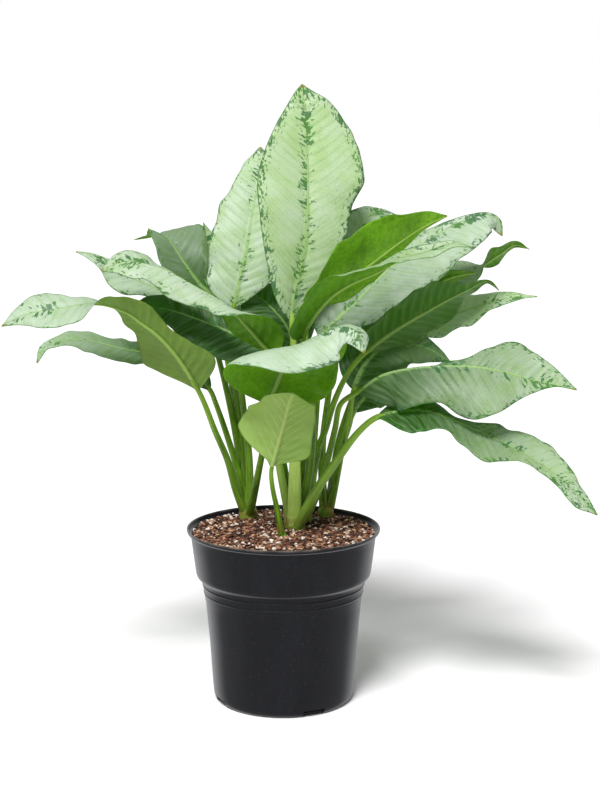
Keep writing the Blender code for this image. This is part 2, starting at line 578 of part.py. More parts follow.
def make_blade(name, leaf, group):
    surface = blade_surface(leaf, BLADE_ROWS, leaf.columns)
    bpy.ops.mesh.primitive_grid_add(x_subdivisions=BLADE_ROWS, y_subdivisions=2 * leaf.columns, size=2)
    blade = bpy.context.object
    blade.name = name
    put_in(blade, group)
    for vertex in blade.data.vertices:
        row = round((vertex.co.x + 1) / 2 * BLADE_ROWS)
        column = round((1 - vertex.co.y) * leaf.columns)
        vertex.co = Vector(surface[row, column])
    shape = bmesh.new()
    shape.from_mesh(blade.data)
    bmesh.ops.triangulate(shape, faces=shape.faces[:])
    shape.to_mesh(blade.data)
    shape.free()
    thick = blade.modifiers.new("thickness", "SOLIDIFY")
    thick.thickness = BLADE_THICKNESS
    thick.offset = 0
    blade.data.shade_smooth()
    give_material(blade, LEAF_GREEN)


def make_stalk(name, leaf, group):
    """A tapering tube from inside the cane to the heel of the blade."""
    line, heel = leaf_line(leaf)
    fractions = np.linspace(0, 1, STALK_STEPS + 1)
    curve = bpy.data.curves.new(name, "CURVE")
    curve.dimensions = "3D"
    spline = curve.splines.new("POLY")
    spline.points.add(STALK_STEPS)
    thick, thin = leaf.stalk_radius
    curve.bevel_depth = thick
    curve.bevel_resolution = 1
    curve.use_fill_caps = True
    for point, place, f in zip(spline.points, points_along(line[:heel + 1], fractions), fractions):
        point.co = (*place, 1)
        point.radius = 1 + (thin / thick - 1) * f
    rod = bpy.data.objects.new(name + "_curve", curve)
    bpy.context.scene.collection.objects.link(rod)
    graph = bpy.context.evaluated_depsgraph_get()
    mesh = bpy.data.meshes.new_from_object(rod.evaluated_get(graph))
    shape = bmesh.new()
    shape.from_mesh(mesh)
    bmesh.ops.remove_doubles(shape, verts=shape.verts[:], dist=0.00001)
    shape.to_mesh(mesh)
    shape.free()
    stalk = bpy.data.objects.new(name, mesh)
    stalk.matrix_world = rod.matrix_world
    group.objects.link(stalk)
    bpy.data.objects.remove(rod, do_unlink=True)


def make_shoot(name, group):
    """A cane, and the stalks that grow from it, as one body."""
    (x, y), radius, top = SHOOTS[name]
    bpy.ops.mesh.primitive_cone_add(
        vertices=CANE_SIDES, radius1=radius, radius2=radius * 0.8, depth=top - STALK_START,
        location=(x, y, (top + STALK_START) / 2))
    upper = bpy.context.object
    bpy.ops.mesh.primitive_cylinder_add(
        vertices=CANE_SIDES, radius=radius, depth=STALK_START - CANE_BOTTOM + 0.001,
        location=(x, y, (STALK_START + CANE_BOTTOM + 0.001) / 2))
    cane = bpy.context.object
    cane.name = name
    put_in(cane, group)
    stalks = new_collection(name + "_stalks")
    upper.name = name + "_top"
    put_in(upper, stalks)
    for leaf_name, leaf in LEAVES.items():
        if leaf.shoot == name:
            make_stalk(leaf_name + "_stalk", leaf, stalks)
    union = cane.modifiers.new("stalks", "BOOLEAN")
    union.operation = "UNION"
    union.operand_type = "COLLECTION"
    union.collection = stalks
    union.solver = "EXACT"
    settle(cane)
    for stalk in list(stalks.objects):
        bpy.data.objects.remove(stalk, do_unlink=True)
    bpy.data.collections.remove(stalks)
    shade(cane, 50)
    give_material(cane, STALK_GREEN)


def main():
    clear_scene()
    plant = new_collection("potted_chinese_evergreen")
    pot_cutters = new_collection("pot_cutters")
    soil_cutters = new_collection("soil_cutters")
    make_pot(plant, pot_cutters)
    make_soil(plant, soil_cutters)
    for name in SHOOTS:
        make_shoot(name, plant)
    for name, leaf in LEAVES.items():
        make_blade(name, leaf, plant)


main()
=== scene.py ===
"""The look of a potted chinese evergreen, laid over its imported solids.

The leaf table and the curves are those of the part's source, so each fine piece lies where its solid does.
Lengths are in metres, apart from the leaf table, which is in centimetres. The front of the plant faces -Y.
"""

from math import cos, pi, radians, sin
from typing import NamedTuple

import bpy
import numpy as np
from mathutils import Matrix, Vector, noise


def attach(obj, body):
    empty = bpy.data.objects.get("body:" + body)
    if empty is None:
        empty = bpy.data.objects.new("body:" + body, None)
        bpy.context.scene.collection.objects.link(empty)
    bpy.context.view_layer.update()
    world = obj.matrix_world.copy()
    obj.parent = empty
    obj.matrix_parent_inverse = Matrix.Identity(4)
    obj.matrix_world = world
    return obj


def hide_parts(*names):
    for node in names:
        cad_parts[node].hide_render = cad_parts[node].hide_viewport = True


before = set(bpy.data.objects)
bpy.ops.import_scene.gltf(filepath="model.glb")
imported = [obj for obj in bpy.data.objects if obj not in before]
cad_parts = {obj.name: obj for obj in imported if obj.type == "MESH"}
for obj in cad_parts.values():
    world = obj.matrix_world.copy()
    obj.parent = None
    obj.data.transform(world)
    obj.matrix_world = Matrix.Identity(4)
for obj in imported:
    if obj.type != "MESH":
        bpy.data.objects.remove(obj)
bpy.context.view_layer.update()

CM = 0.01

# Pot: its wall outside from the lip down, its inside, and each ring's section as steps out and up
POT_SIDES = 160
POT_FLOOR = 0.003
POT_WALL = 0.0019
OUTER_WALL = [
    (0.1196, 0.2172), (0.1200, 0.2150), (0.1192, 0.2124), (0.1152, 0.2108), (0.1138, 0.2000),
    (0.1090, 0.1620), (0.1076, 0.1575), (0.1030, 0.1540), (0.1012, 0.1500), (0.0969, 0.1225),
    (0.0922, 0.0705), (0.0888, 0.0180), (0.0878, 0.0070), (0.0862, 0.0025), (0.0830, 0.0000),
]
INNER_HEIGHTS = (0.0180, 0.2124)
INNER_LIP = [(0.1168, 0.2124), (0.1174, 0.2166)]
FLOOR_CORNER = 0.0012
CORNER_RADIUS = 0.0016
RING_HEIGHTS = (0.1462, 0.1368)
RING_SECTION = [(0.0, 0.0011), (0.0006, 0.0003), (0.0005, -0.0004), (-0.0001, -0.0010)]
DRAIN_CUTS = 4
DRAIN_FIRST = radians(-64)
DRAIN_WIDTH = 0.029
DRAIN_HEIGHT = 0.0075
DRAIN_INNER = 0.0795
DRAIN_OUTER = 0.1

# Soil
SOIL_TOP = 0.2122
SOIL_EDGE_TOP = 0.2104
SOIL_BOTTOM = 0.165
SOIL_RADIUS = 0.1124
SOIL_TAPER = 0.93
SOIL_SIDE = 110
MOUND_HEIGHT = 0.0016
MOUNDS_PER_METRE = 22
CRUMB_HEIGHT = 0.0011
CRUMBS_PER_METRE = 260
PEAT_BELOW_LITTER = 0.0012

# Litter on the soil: how many pieces, their sizes, how far they lean, and how deep or high they lie
LITTER = {
    "coir_chips": (3200, (0.0020, 0.0052), 0.6, (-0.0008, 0.0012)),
    "perlite_grains": (300, (0.0012, 0.0034), 0.9, (-0.0002, 0.0016)),
    "coir_fibres": (260, (0.004, 0.011), 0.25, (0.0008, 0.0022)),
}
LITTER_SEED = 11
LITTER_PAST_EDGE = 0.0012
LUMP_SHAPES = 9
STRAND_SHAPES = 8

# Shoots: place of the cane, its radius and its top
SHOOTS = {
    "shoot_left": ((-0.046, 0.073), 0.0115, 0.227),
    "shoot_middle": ((0.014, 0.012), 0.0130, 0.230),
    "shoot_front_small": ((-0.001, -0.030), 0.0056, 0.218),
    "shoot_centre_back": ((0.026, 0.047), 0.0105, 0.225),
    "shoot_right_back": ((0.054, 0.076), 0.0105, 0.225),
}
CANE_BOTTOM = 0.190
CANE_SIDES = 40
CANE_ROWS = 14
CANE_SHOULDER = 0.8
CANE_NARROWS = 0.45

# Stalks: depths are shares of the radius, and angles are from the middle of the upper side
STALK_START = 0.2135
STALK_ROWS = 60
STALK_SIDES = 18
CHANNEL_DEPTH = 0.16
CHANNEL_HALF = 0.62
SHEATH_SHARE = 0.42
SHEATH_DEPTH = 0.20
SHEATH_FLARE = 0.10
LIP_ANGLE = 0.75
LIP_HALF = 0.22
TAIL_SHARE = 0.085
TAIL_ROWS = 8

# Blades
BLADE_THICKNESS = 0.0008
BLADE_ROWS = 96
BLADE_COLUMNS = 19
BLADE_SEED = 100
BLADE_HEEL_HALF = 0.0025
BLADE_TIP_HALF = 0.0007
STALK_STEPS = 8
STALK_TO_BLADE = 0.0008
BLADE_HOLD = 0.2
VEIN_SPACING = 0.0125
QUILT_HEIGHT = 0.00085
RIPPLE_HEIGHT = 0.0026
RIPPLES = ((0.055, 0.5), (0.034, 0.35), (0.021, 0.2))
GROOVE_DEPTH = 0.0007
GROOVE_HALF = 0.0018
GROOVE_PLACE = 0.0036

# Camera, light and floor
SENSOR = 36
LENS_TO_SENSOR = 1522 / 800
CAMERA_PLACE = (0.0205, -1.84, 0.673)
CAMERA_DIP = 9.17
SUN_PLACE = (-0.22, -0.72, 1.1)
SUN_POWER = 3.4
SUN_SPREAD = radians(20)
WORLD_LIGHT = 0.38
FLOOR_SIZE = 60
FLOOR_HEIGHT = -0.0005


class Leaf(NamedTuple):
    """One leaf. The points are x, y, z in centimetres, and the angles are in degrees."""

    shoot: str
    stalk: list
    rib: list
    faces: list
    half_width: float
    left: tuple = ((12, -25),)
    right: tuple = ((12, -25),)
    share: tuple = (1.0, 1.0)
    belly: object = 0.36
    point: object = 1.1
    heel: object = 0.62
    edges: tuple = ((), ())
    wave: float = 0.003
    waves: float = 3.0
    phase: float = 0.0
    stalk_radius: tuple = (0.0055, 0.0032)


# stalk: points between cane and blade. rib: midrib from heel to tip. faces: where the upper side looks.
# left and right: fold at the midrib and curl out to the margin, from heel to tip. share: width of each half.
# belly: how far along the blade is widest. point and heel: how fast it narrows to the tip and to the heel.
# These three are one number, or a pair for the left and right halves.
# edges: where the outline is drawn instead, the widths of the left and right halves, evenly from heel to tip.
LEAVES = {
    "leaf_tall_centre": Leaf(
        "shoot_middle", stalk=[(1.4, -0.7, 28.6), (1.5, -0.2, 37.5), (1.3, 0.2, 43.7)],
        rib=[(1.1, 0.2, 47.2), (1.3, 0.4, 49.8), (2.7, 2.0, 57.0), (2.9, 5.0, 64.2), (2.8, 7.2, 70.3),
             (2.3, 9.2, 75.9)],
        faces=[(0.25, -1, 0.3)],
        half_width=6.4, left=((14, -22),), right=((8, -18),), belly=0.52, point=0.85, heel=0.75,
        edges=((), (0.3, 2.5, 3.8, 4.6, 5.2, 5.9, 7.2, 6.9, 5.9, 3.9, 0.1)),
        stalk_radius=(0.0088, 0.0036)),
    "leaf_tall_left": Leaf(
        "shoot_left", stalk=[(-4.5, 7.6, 28.6), (-5.2, 7.6, 35.7), (-6.1, 7.4, 44.1)],
        rib=[(-6.3, 7.2, 48.2), (-5.1, 8.4, 53.9), (-4.1, 10.7, 59.7), (-3.2, 13.2, 64.7),
             (-3.0, 15.2, 68.2)],
        faces=[(-0.1, -1, 0.3)],
        half_width=5.1, left=((8, -20),), right=((8, -20),), belly=0.42, point=0.85,
        edges=((0.3, 3.5, 4.4, 4.6, 4.7, 4.4, 4.3, 3.4, 2.7, 2.0, 0.2), ())),
    "leaf_back_left_curled": Leaf(
        "shoot_left", stalk=[(-5.3, 9.2, 26.9), (-6.5, 11.2, 35.8), (-7.9, 13.0, 43.4)],
        rib=[(-8.9, 14.0, 48.5), (-11.0, 14.2, 50.6), (-13.3, 14.6, 53.7), (-15.3, 15.8, 56.5),
             (-16.5, 17.6, 56.9), (-17.8, 18.6, 56.5), (-20.0, 19.0, 56.1)],
        faces=[(0, -1, 0.5), (0, -0.8, 0.6), (0.2, -0.3, 1), (0, 0.3, 1)],
        half_width=6.0, left=((20, -10),), right=((20, -10),), share=(0.6, 1.0)),
    "leaf_back_left_folded": Leaf(
        "shoot_left", stalk=[(-5.6, 9.4, 32.2), (-7.0, 9.6, 42.5)],
        rib=[(-8.3, 10.6, 48.6), (-9.1, 11.4, 51.7), (-9.7, 12.4, 55.2), (-10.1, 13.0, 57.1),
             (-10.4, 13.6, 58.6)],
        faces=[(0.8, -0.65, 0.1)], half_width=3.6, left=((30, -10),), right=((30, -10),)),
    "leaf_upper_left": Leaf(
        "shoot_middle", stalk=[(-0.3, 0.5, 28.1), (-1.0, 0.0, 32.6), (-1.2, -0.5, 40.1)],
        rib=[(-1.3, -0.8, 43.0), (-2.8, -1.2, 45.0), (-4.5, -1.5, 47.0), (-6.6, -1.5, 49.3),
             (-10.0, -1.2, 51.3), (-14.8, -0.8, 53.8), (-19.0, -0.4, 54.5), (-22.0, 0.0, 53.4)],
        faces=[(0.1, 1, 0.2), (0, 0.9, 0.5), (0, 0.1, 1), (0, -0.5, 0.85), (0, -0.6, 0.75), (0, -0.7, 0.7),
               (0, -0.5, 0.85)], half_width=5.0,
        left=((0, -20), (0, -20), (0, -60), (0, -100), (5, -70), (5, -40), (8, -20), (8, -10), (8, -10)),
        right=((10, -20), (0, -20), (-20, -20), (-40, -15), (-50, -15), (-40, -15), (-5, -20), (8, -20)),
        share=(1.0, 0.66), belly=0.72, point=0.62,
        edges=((0.3, 3.2, 3.8, 3.6, 2.8, 2.9, 3.2, 2.7, 2.7, 2.0, 0.1), ())),
    "leaf_upper_left_rear": Leaf(
        "shoot_left", stalk=[(-5.9, 9.0, 29.7), (-7.4, 9.4, 37.4), (-9.1, 8.6, 44.6)],
        rib=[(-10.0, 8.2, 48.1), (-15.0, 7.8, 50.1), (-19.3, 7.4, 51.9), (-22.4, 7.2, 53.9),
             (-24.2, 6.8, 54.9), (-25.9, 6.4, 55.3)],
        faces=[(0, -0.5, 0.85)], half_width=4.4,
        edges=((0.3, 1.2, 1.8, 2.2, 2.4, 3.0, 3.4, 2.9, 2.0, 1.0, 0.1),
               (0.3, 1.8, 2.8, 3.4, 3.6, 3.0, 2.2, 1.5, 0.9, 0.4, 0.1))),
    "leaf_far_left": Leaf(
        "shoot_left", stalk=[(-6.1, 6.2, 24.9), (-7.1, 4.8, 29.1), (-8.6, 3.0, 33.3), (-9.7, 1.8, 36.7)],
        rib=[(-10.5, 1.0, 38.7), (-12.0, -0.2, 41.6), (-13.7, -1.3, 44.2), (-15.4, -2.1, 46.1),
             (-17.1, -2.7, 47.5), (-18.4, -3.3, 48.6), (-21.6, -4.2, 49.8), (-26.3, -5.0, 49.3),
             (-30.3, -5.4, 48.6), (-33.1, -5.6, 47.3)],
        faces=[(0.35, 0.85, 0.35), (0.3, 0.85, 0.5), (0.25, 0.75, 0.65), (0.15, 0.4, 0.9), (0, 0.1, 1),
               (0, -0.65, 0.75), (0, -0.8, 0.6), (0, -0.6, 0.8)],
        half_width=4.8, left=((12, -25), (20, 10), (30, 50), (25, 30), (12, -25), (12, -25), (12, -25)),
        edges=((0.3, 3.8, 2.6, 1.7, 2.3, 2.3, 3.4, 3.0, 2.8, 1.5, 0.1),
               (0.3, 3.0, 5.0, 4.3, 3.1, 2.0, 2.3, 1.6, 2.8, 1.7, 0.1))),
    "leaf_lower_left": Leaf(
        "shoot_left", stalk=[(-5.7, 7.6, 26.2), (-7.3, 7.6, 31.8), (-8.7, 7.4, 36.0)],
        rib=[(-9.4, 7.0, 37.8), (-11.8, 6.2, 40.4), (-15.5, 5.4, 42.2), (-20.4, 4.6, 43.4),
             (-24.7, 4.0, 44.5), (-27.7, 3.6, 44.4), (-29.6, 3.4, 43.7), (-30.6, 3.2, 41.7)],
        faces=[(0, -0.42, 0.9)], half_width=3.4,
        edges=((0.3, 2.2, 2.9, 3.2, 3.3, 3.2, 2.8, 2.8, 1.6, 0.8, 0.1),
               (0.3, 2.5, 3.1, 3.3, 3.1, 2.4, 1.4, 2.0, 1.9, 0.9, 0.1))),
    "leaf_inner_left": Leaf(
        "shoot_middle", stalk=[(0.1, 1.8, 28.5), (-0.8, 1.8, 33.5), (-1.4, 2.0, 39.8)],
        rib=[(-1.6, 2.2, 42.6), (-5.3, 2.6, 45.0), (-9.6, 2.9, 46.8), (-14.5, 3.1, 48.4),
             (-18.8, 3.2, 48.7)],
        faces=[(0, -0.75, 0.65)], half_width=4.2,
        edges=((0.3, 2.2, 3.4, 4.1, 4.4, 4.1, 3.4, 2.6, 1.7, 1.4, 0.2),
               (0.3, 1.8, 2.4, 2.9, 3.1, 3.0, 2.7, 2.5, 2.2, 1.6, 0.2))),
    "leaf_inner_back": Leaf(
        "shoot_centre_back", stalk=[(1.8, 5.2, 31.6), (1.8, 6.6, 40.4)],
        rib=[(1.5, 7.0, 42.9), (0.2, 7.8, 46.0), (-2.0, 9.0, 48.4), (-4.4, 10.6, 49.9), (-6.3, 12.0, 50.5)],
        faces=[(0.3, -0.8, 0.6)], half_width=4.8),
    "leaf_back_right_arched": Leaf(
        "shoot_right_back", stalk=[(4.9, 7.8, 29.8), (5.9, 7.8, 38.9)],
        rib=[(6.6, 8.0, 46.6), (7.7, 8.6, 52.1), (9.4, 10.0, 56.9), (10.7, 11.6, 59.4), (12.9, 13.6, 60.1),
             (15.1, 15.2, 59.3)],
        faces=[(0, -1, 0.6), (0, -0.8, 0.8), (0, -0.2, 1)], half_width=3.8),
    "leaf_upper_right_rear": Leaf(
        "shoot_centre_back", stalk=[(2.4, 3.2, 28.1), (2.9, 1.8, 34.8), (2.8, 0.0, 43.8)],
        rib=[(3.1, -0.6, 48.2), (6.8, -1.4, 51.5), (10.8, -1.9, 54.6), (14.2, -2.2, 57.2),
             (16.8, -2.4, 58.9), (19.5, -2.6, 60.1)],
        faces=[(-0.4, 0.8, 0.4)], half_width=5.4,
        edges=((0.3, 1.5, 2.2, 2.6, 2.6, 2.4, 1.9, 1.3, 0.8, 0.4, 0.1),
               (0.3, 2.3, 3.1, 4.2, 5.2, 5.4, 5.0, 4.3, 3.3, 1.8, 0.1))),
    "leaf_upper_right_front": Leaf(
        "shoot_middle", stalk=[(3.2, 0.4, 28.7), (3.6, -1.4, 35.3), (3.0, -3.4, 42.4)],
        rib=[(2.4, -4.2, 45.7), (3.6, -4.6, 48.2), (5.6, -4.9, 50.6), (7.9, -5.1, 52.2), (10.8, -5.3, 53.5),
             (13.8, -5.4, 55.1), (17.2, -5.5, 56.2), (19.8, -5.6, 57.0), (22.1, -5.7, 56.6)],
        faces=[(-0.4, 0.8, 0.5), (-0.3, 0.8, 0.6), (-0.25, 0.6, 0.8), (-0.1, 0.1, 1), (0, -0.3, 1)],
        half_width=4.6, left=((60, 0),), right=((0, -50),), share=(0.4, 1.0), heel=0.42, belly=0.3,
        point=1.0, wave=0.002),
    "leaf_silver_right": Leaf(
        "shoot_centre_back", stalk=[(3.6, 3.8, 29.3), (4.1, 3.4, 35.8), (4.5, 3.0, 42.4)],
        rib=[(4.7, 3.0, 44.9), (6.8, 3.3, 47.3), (9.1, 3.8, 49.4), (11.3, 4.4, 51.6), (14.1, 5.0, 54.0),
             (18.2, 5.8, 57.0), (22.6, 6.6, 59.2), (25.5, 7.2, 59.9), (27.0, 7.6, 59.1), (27.4, 7.8, 57.2)],
        faces=[(-0.2, -0.75, 0.6)],
        half_width=5.8, left=((10, -20),), right=((10, -20),), belly=0.5, point=0.75,
        edges=((0.3, 3.5, 3.9, 3.2, 2.1, 1.7, 1.5, 1.0, 0.6, 0.3, 0.1), ())),
    "leaf_mid_right": Leaf(
        "shoot_centre_back", stalk=[(4.3, 3.8, 30.6), (5.2, 3.4, 33.2), (6.4, 2.6, 37.2), (8.2, 1.6, 41.1)],
        rib=[(10.0, 1.0, 43.3), (13.0, 0.2, 45.8), (17.8, -0.6, 48.8), (21.9, -1.2, 51.1),
             (24.5, -1.6, 52.3), (25.9, -1.8, 51.2)],
        faces=[(-0.3, 0.75, 0.55), (-0.3, 0.75, 0.55), (-0.1, 0.3, 1)], half_width=4.2,
        edges=((), (0.3, 2.5, 3.0, 3.3, 3.7, 4.3, 4.3, 3.1, 1.7, 0.6, 0.1))),
    "leaf_rear_right_short": Leaf(
        "shoot_right_back", stalk=[(7.5, 9.8, 32.1), (12.1, 12.0, 43.1), (14.7, 10.4, 47.2)],
        rib=[(16.6, 8.0, 49.1), (19.6, 6.8, 51.5), (22.0, 6.3, 52.4), (24.0, 6.0, 52.7)],
        faces=[(-0.2, 0.8, 0.5)], half_width=1.7),
    "leaf_rear_right_twisted": Leaf(
        "shoot_right_back", stalk=[(7.9, 10.2, 32.1), (13.0, 12.6, 44.3), (16.3, 11.8, 48.0)],
        rib=[(18.7, 10.3, 49.6), (21.8, 9.5, 51.5), (24.9, 9.5, 53.2), (27.4, 9.7, 54.8), (29.3, 9.9, 56.0),
             (31.2, 9.9, 55.4)],
        faces=[(0, -0.6, 0.8), (0, -0.6, 0.8), (0, 0.6, 0.8), (0, 0.6, 0.8)], half_width=2.6),
    "leaf_right_pointed": Leaf(
        "shoot_right_back", stalk=[(6.7, 8.8, 27.0), (8.0, 10.0, 32.2), (12.4, 12.0, 39.9)],
        rib=[(17.0, 12.4, 44.1), (20.2, 12.2, 46.1), (24.0, 12.0, 47.6), (28.5, 11.8, 48.9),
             (30.3, 11.7, 49.2), (32.6, 11.6, 49.2)],
        faces=[(0, -0.5, 0.85)], half_width=3.6,
        edges=((0.3, 2.0, 3.0, 3.4, 3.4, 3.0, 2.4, 1.7, 1.1, 0.6, 0.1),
               (0.3, 2.2, 3.3, 3.6, 3.3, 2.7, 2.0, 1.4, 0.9, 0.5, 0.1))),
    "leaf_inner_right": Leaf(
        "shoot_right_back", stalk=[(6.4, 7.6, 24.6), (7.4, 6.8, 30.0), (8.4, 5.6, 35.4)],
        rib=[(8.8, 5.0, 38.1), (10.1, 5.2, 41.1), (12.1, 5.8, 43.0), (15.3, 6.4, 43.7), (18.4, 6.2, 43.0),
             (21.0, 5.6, 41.5)],
        faces=[(0.1, -0.7, 0.7), (0, -0.6, 0.8)], half_width=4.4, belly=0.45, point=0.9,
        edges=((0.3, 2.2, 3.6, 4.2, 4.2, 3.8, 3.1, 2.2, 1.4, 0.8, 0.1), ())),
    "leaf_big_right": Leaf(
        "shoot_middle", stalk=[(3.5, 0.0, 24.4), (5.1, -0.5, 29.0), (6.3, -1.2, 34.1), (7.0, -1.8, 37.4)],
        rib=[(8.9, -2.2, 38.9), (11.7, -2.8, 41.0), (15.2, -3.4, 42.0), (20.5, -4.2, 42.4),
             (25.2, -5.0, 42.0), (29.9, -5.6, 40.8), (32.8, -5.8, 40.2), (34.8, -6.0, 39.8)],
        faces=[(0, -0.85, 0.6)],
        half_width=6.0, left=((-90, 0), (-90, 0), (-80, 0), (0, 0), (0, -8), (0, -8), (0, -8)), wave=0.006,
        waves=2.5, phase=1.0,
        edges=((0.3, 2.2, 2.8, 2.4, 1.2, 1.0, 3.2, 4.6, 3.5, 2.2, 0.1),
               (0.3, 4.2, 5.5, 5.4, 5.1, 6.4, 7.0, 5.8, 2.2, 0.3, 0.1))),
    "leaf_low_right": Leaf(
        "shoot_middle", stalk=[(3.3, -1.2, 25.3), (5.7, -2.2, 29.3), (9.3, -3.6, 34.5)],
        rib=[(11.3, -4.2, 36.2), (14.0, -4.8, 37.0), (17.5, -5.4, 37.0), (22.8, -6.4, 35.0),
             (28.1, -7.4, 32.6), (32.7, -8.2, 29.6), (37.1, -9.0, 25.3)],
        faces=[(0, -0.4, 0.9), (0, -0.4, 0.9), (0.3, -0.6, 0.8)],
        half_width=4.0, stalk_radius=(0.0075, 0.0038),
        edges=((0.3, 2.3, 2.6, 1.0, 1.4, 3.0, 3.8, 3.7, 2.4, 1.5, 0.1),
               (0.3, 4.1, 4.4, 3.1, 4.0, 4.8, 2.3, 1.5, 1.4, 2.0, 0.1))),
    "leaf_young_front": Leaf(
        "shoot_front_small", stalk=[(-0.7, -4.2, 24.8), (-1.2, -5.0, 27.4), (-1.4, -5.5, 29.4)],
        rib=[(-1.3, -5.8, 30.5), (-0.4, -6.8, 33.9), (0.3, -8.0, 36.7), (0.8, -9.5, 38.8),
             (1.3, -11.2, 40.2)],
        faces=[(0, 1, 0.1)],
        half_width=4.6, wave=0.005, waves=1.4, phase=2.0, stalk_radius=(0.0040, 0.0026),
        edges=((0.3, 2.8, 3.9, 3.9, 3.8, 3.7, 3.6, 3.3, 3.1, 2.6, 0.1),
               (0.3, 0.8, 2.1, 3.6, 4.6, 5.2, 5.1, 4.9, 4.7, 4.6, 4.5, 3.4, 3.0, 2.4, 1.4, 0.1))),
    "leaf_front_folded": Leaf(
        "shoot_left", stalk=[(-3.2, 2.0, 27.8), (-2.3, -1.5, 32.9)],
        rib=[(-1.7, -3.5, 37.6), (-0.8, -4.5, 40.0), (0.3, -5.8, 42.8), (1.8, -7.0, 45.0), (4.4, -8.4, 46.7),
             (7.2, -9.8, 47.7), (8.7, -10.8, 47.1), (9.4, -11.6, 44.9)],
        faces=[(0, 1, 0.1), (0, 0.9, 0.5), (0, 0.1, 1), (0.1, -0.5, 0.85), (0.3, -0.6, 0.75)],
        half_width=7.2, left=((0, -30), (0, -50), (-20, -40), (-20, -20)),
        right=((5, -30), (8, -60), (5, -95), (-5, -90), (-20, -60), (-25, -35), (-25, -20)),
        edges=((0.3, 4.6, 6.0, 6.5, 6.6, 6.4, 5.8, 4.6, 3.4, 2.0, 0.1),
               (0.3, 5.4, 7.7, 8.6, 8.2, 6.4, 5.6, 4.5, 3.3, 2.0, 0.1))),
    "leaf_back_low_left": Leaf(
        "shoot_left", stalk=[(-5.0, 9.5, 28.0), (-6.2, 12.5, 36.5), (-7.0, 15.0, 41.5)],
        rib=[(-7.5, 16.5, 44.0), (-8.5, 20.0, 46.5), (-10.0, 24.0, 47.5), (-11.0, 27.5, 46.0),
             (-11.5, 30.0, 43.0)],
        faces=[(-0.2, -0.4, 1), (-0.2, 0.2, 1)], half_width=5.0),
    "leaf_back_centre": Leaf(
        "shoot_centre_back", stalk=[(2.5, 7.5, 32.0), (2.5, 10.5, 42.0), (2.0, 12.5, 48.0)],
        rib=[(1.8, 13.5, 50.5), (1.0, 17.0, 54.5), (0.0, 21.5, 57.0), (-1.0, 26.0, 56.5),
             (-1.5, 30.0, 53.0)],
        faces=[(0, -0.6, 1), (0, 0.3, 1)], half_width=5.0),
    "leaf_back_low_right": Leaf(
        "shoot_right_back", stalk=[(7.0, 8.3, 28.5), (8.3, 8.4, 32.6)],
        rib=[(8.9, 8.4, 34.6), (10.6, 8.4, 36.8), (13.4, 8.8, 38.0), (17.0, 9.6, 38.4), (20.5, 11.2, 37.6),
             (23.0, 13.0, 36.0)],
        faces=[(0.1, -0.8, 0.6), (0.1, -0.5, 1), (0.2, -0.2, 1)], half_width=3.2, share=(0.65, 1.0)),
}


class Tone(NamedTuple):
    """How one leaf differs in colour and in painted light and shade, each from 0 to about 1."""
    # how yellow its silver is
    glow: float = 0.25
    # how many dark flecks it has
    flecks: float = 0.5
    # how strongly it is ribbed
    ribbed: float = 0.5
    # how deep green its upper side is in place of silver: all over, partly its own dark green and partly
    # painted shade, and towards the heel, painted shade
    deep: float = 0.15
    heel: float = 0.3
    # how far from the heel that painted shade reaches, as a share of the blade
    spread: float = 0.75
    # how bright its underside is, as painted light where it is lit and painted shade where it lies in shade,
    # and how greyish
    below: float = 0.5
    pale: float = 0.0


TONES = {
    "leaf_tall_centre": Tone(glow=0.55, flecks=0.8, ribbed=0.7, deep=0.0, heel=0.1),
    "leaf_tall_left": Tone(glow=0.35, flecks=0.3, ribbed=0.8, deep=0.0, heel=0.0),
    "leaf_back_left_curled": Tone(flecks=0.25, deep=0.6),
    "leaf_back_left_folded": Tone(glow=0.6, flecks=0.2, heel=0.1),
    "leaf_upper_left": Tone(flecks=0.45, deep=0.0, heel=0.1),
    "leaf_upper_left_rear": Tone(glow=0.15, flecks=0.3, deep=0.0, heel=0.3),
    "leaf_far_left": Tone(glow=0.1, flecks=0.05, deep=0.1, heel=0.3, below=0.3, pale=0.4),
    "leaf_lower_left": Tone(flecks=0.1, deep=0.15, heel=1.0, spread=1.05),
    "leaf_inner_left": Tone(glow=0.1, deep=1.0, heel=0.0),
    "leaf_inner_back": Tone(glow=0.1, deep=0.95),
    "leaf_back_right_arched": Tone(deep=0.25),
    "leaf_upper_right_rear": Tone(below=1.0),
    "leaf_upper_right_front": Tone(glow=0.5, flecks=0.2, below=0.52),
    "leaf_silver_right": Tone(glow=0.1, flecks=0.55, ribbed=0.9, deep=0.08, heel=0.4),
    "leaf_mid_right": Tone(below=0.0),
    "leaf_rear_right_short": Tone(deep=0.6),
    "leaf_rear_right_twisted": Tone(flecks=0.2, deep=0.15, below=0.3),
    "leaf_right_pointed": Tone(glow=0.5, flecks=0.3, deep=0.0, heel=0.0),
    "leaf_inner_right": Tone(glow=0.5, deep=0.75),
    "leaf_big_right": Tone(glow=0.4, flecks=0.55, ribbed=2.2, deep=0.19, heel=0.74, spread=0.98),
    "leaf_low_right": Tone(glow=0.4, flecks=0.6, ribbed=1.2, deep=0.12, heel=1.0, spread=0.8),
    "leaf_front_folded": Tone(glow=0.1, flecks=0.35, deep=0.0, heel=0.0, below=0.75),
    "leaf_back_low_left": Tone(heel=0.6),
    "leaf_back_centre": Tone(heel=0.6),
    "leaf_back_low_right": Tone(deep=0.5, heel=0.5),
}


# How much paler some stalks are, from 0 to 1: partly their own pale green, partly painted light where they
# lie in shade
PALE_AND_LIT_STALKS = {
    "leaf_tall_centre": 1.0,
    "leaf_upper_left": 0.5,
    "leaf_low_right": 0.2,
    "leaf_upper_right_front": 0.05,
    "leaf_big_right": 0.05,
    "leaf_far_left": 0.05,
    "leaf_front_folded": 0.05,
}


# Nodes of a material as Python expressions

def colour(red, green, blue):
    """A colour given as it is seen on a screen, from 0 to 255, as the shader's own values."""
    return tuple((c / 255 / 12.92 if c <= 10 else ((c / 255 + 0.055) / 1.055) ** 2.4)
                 for c in (red, green, blue)) + (1.0,)


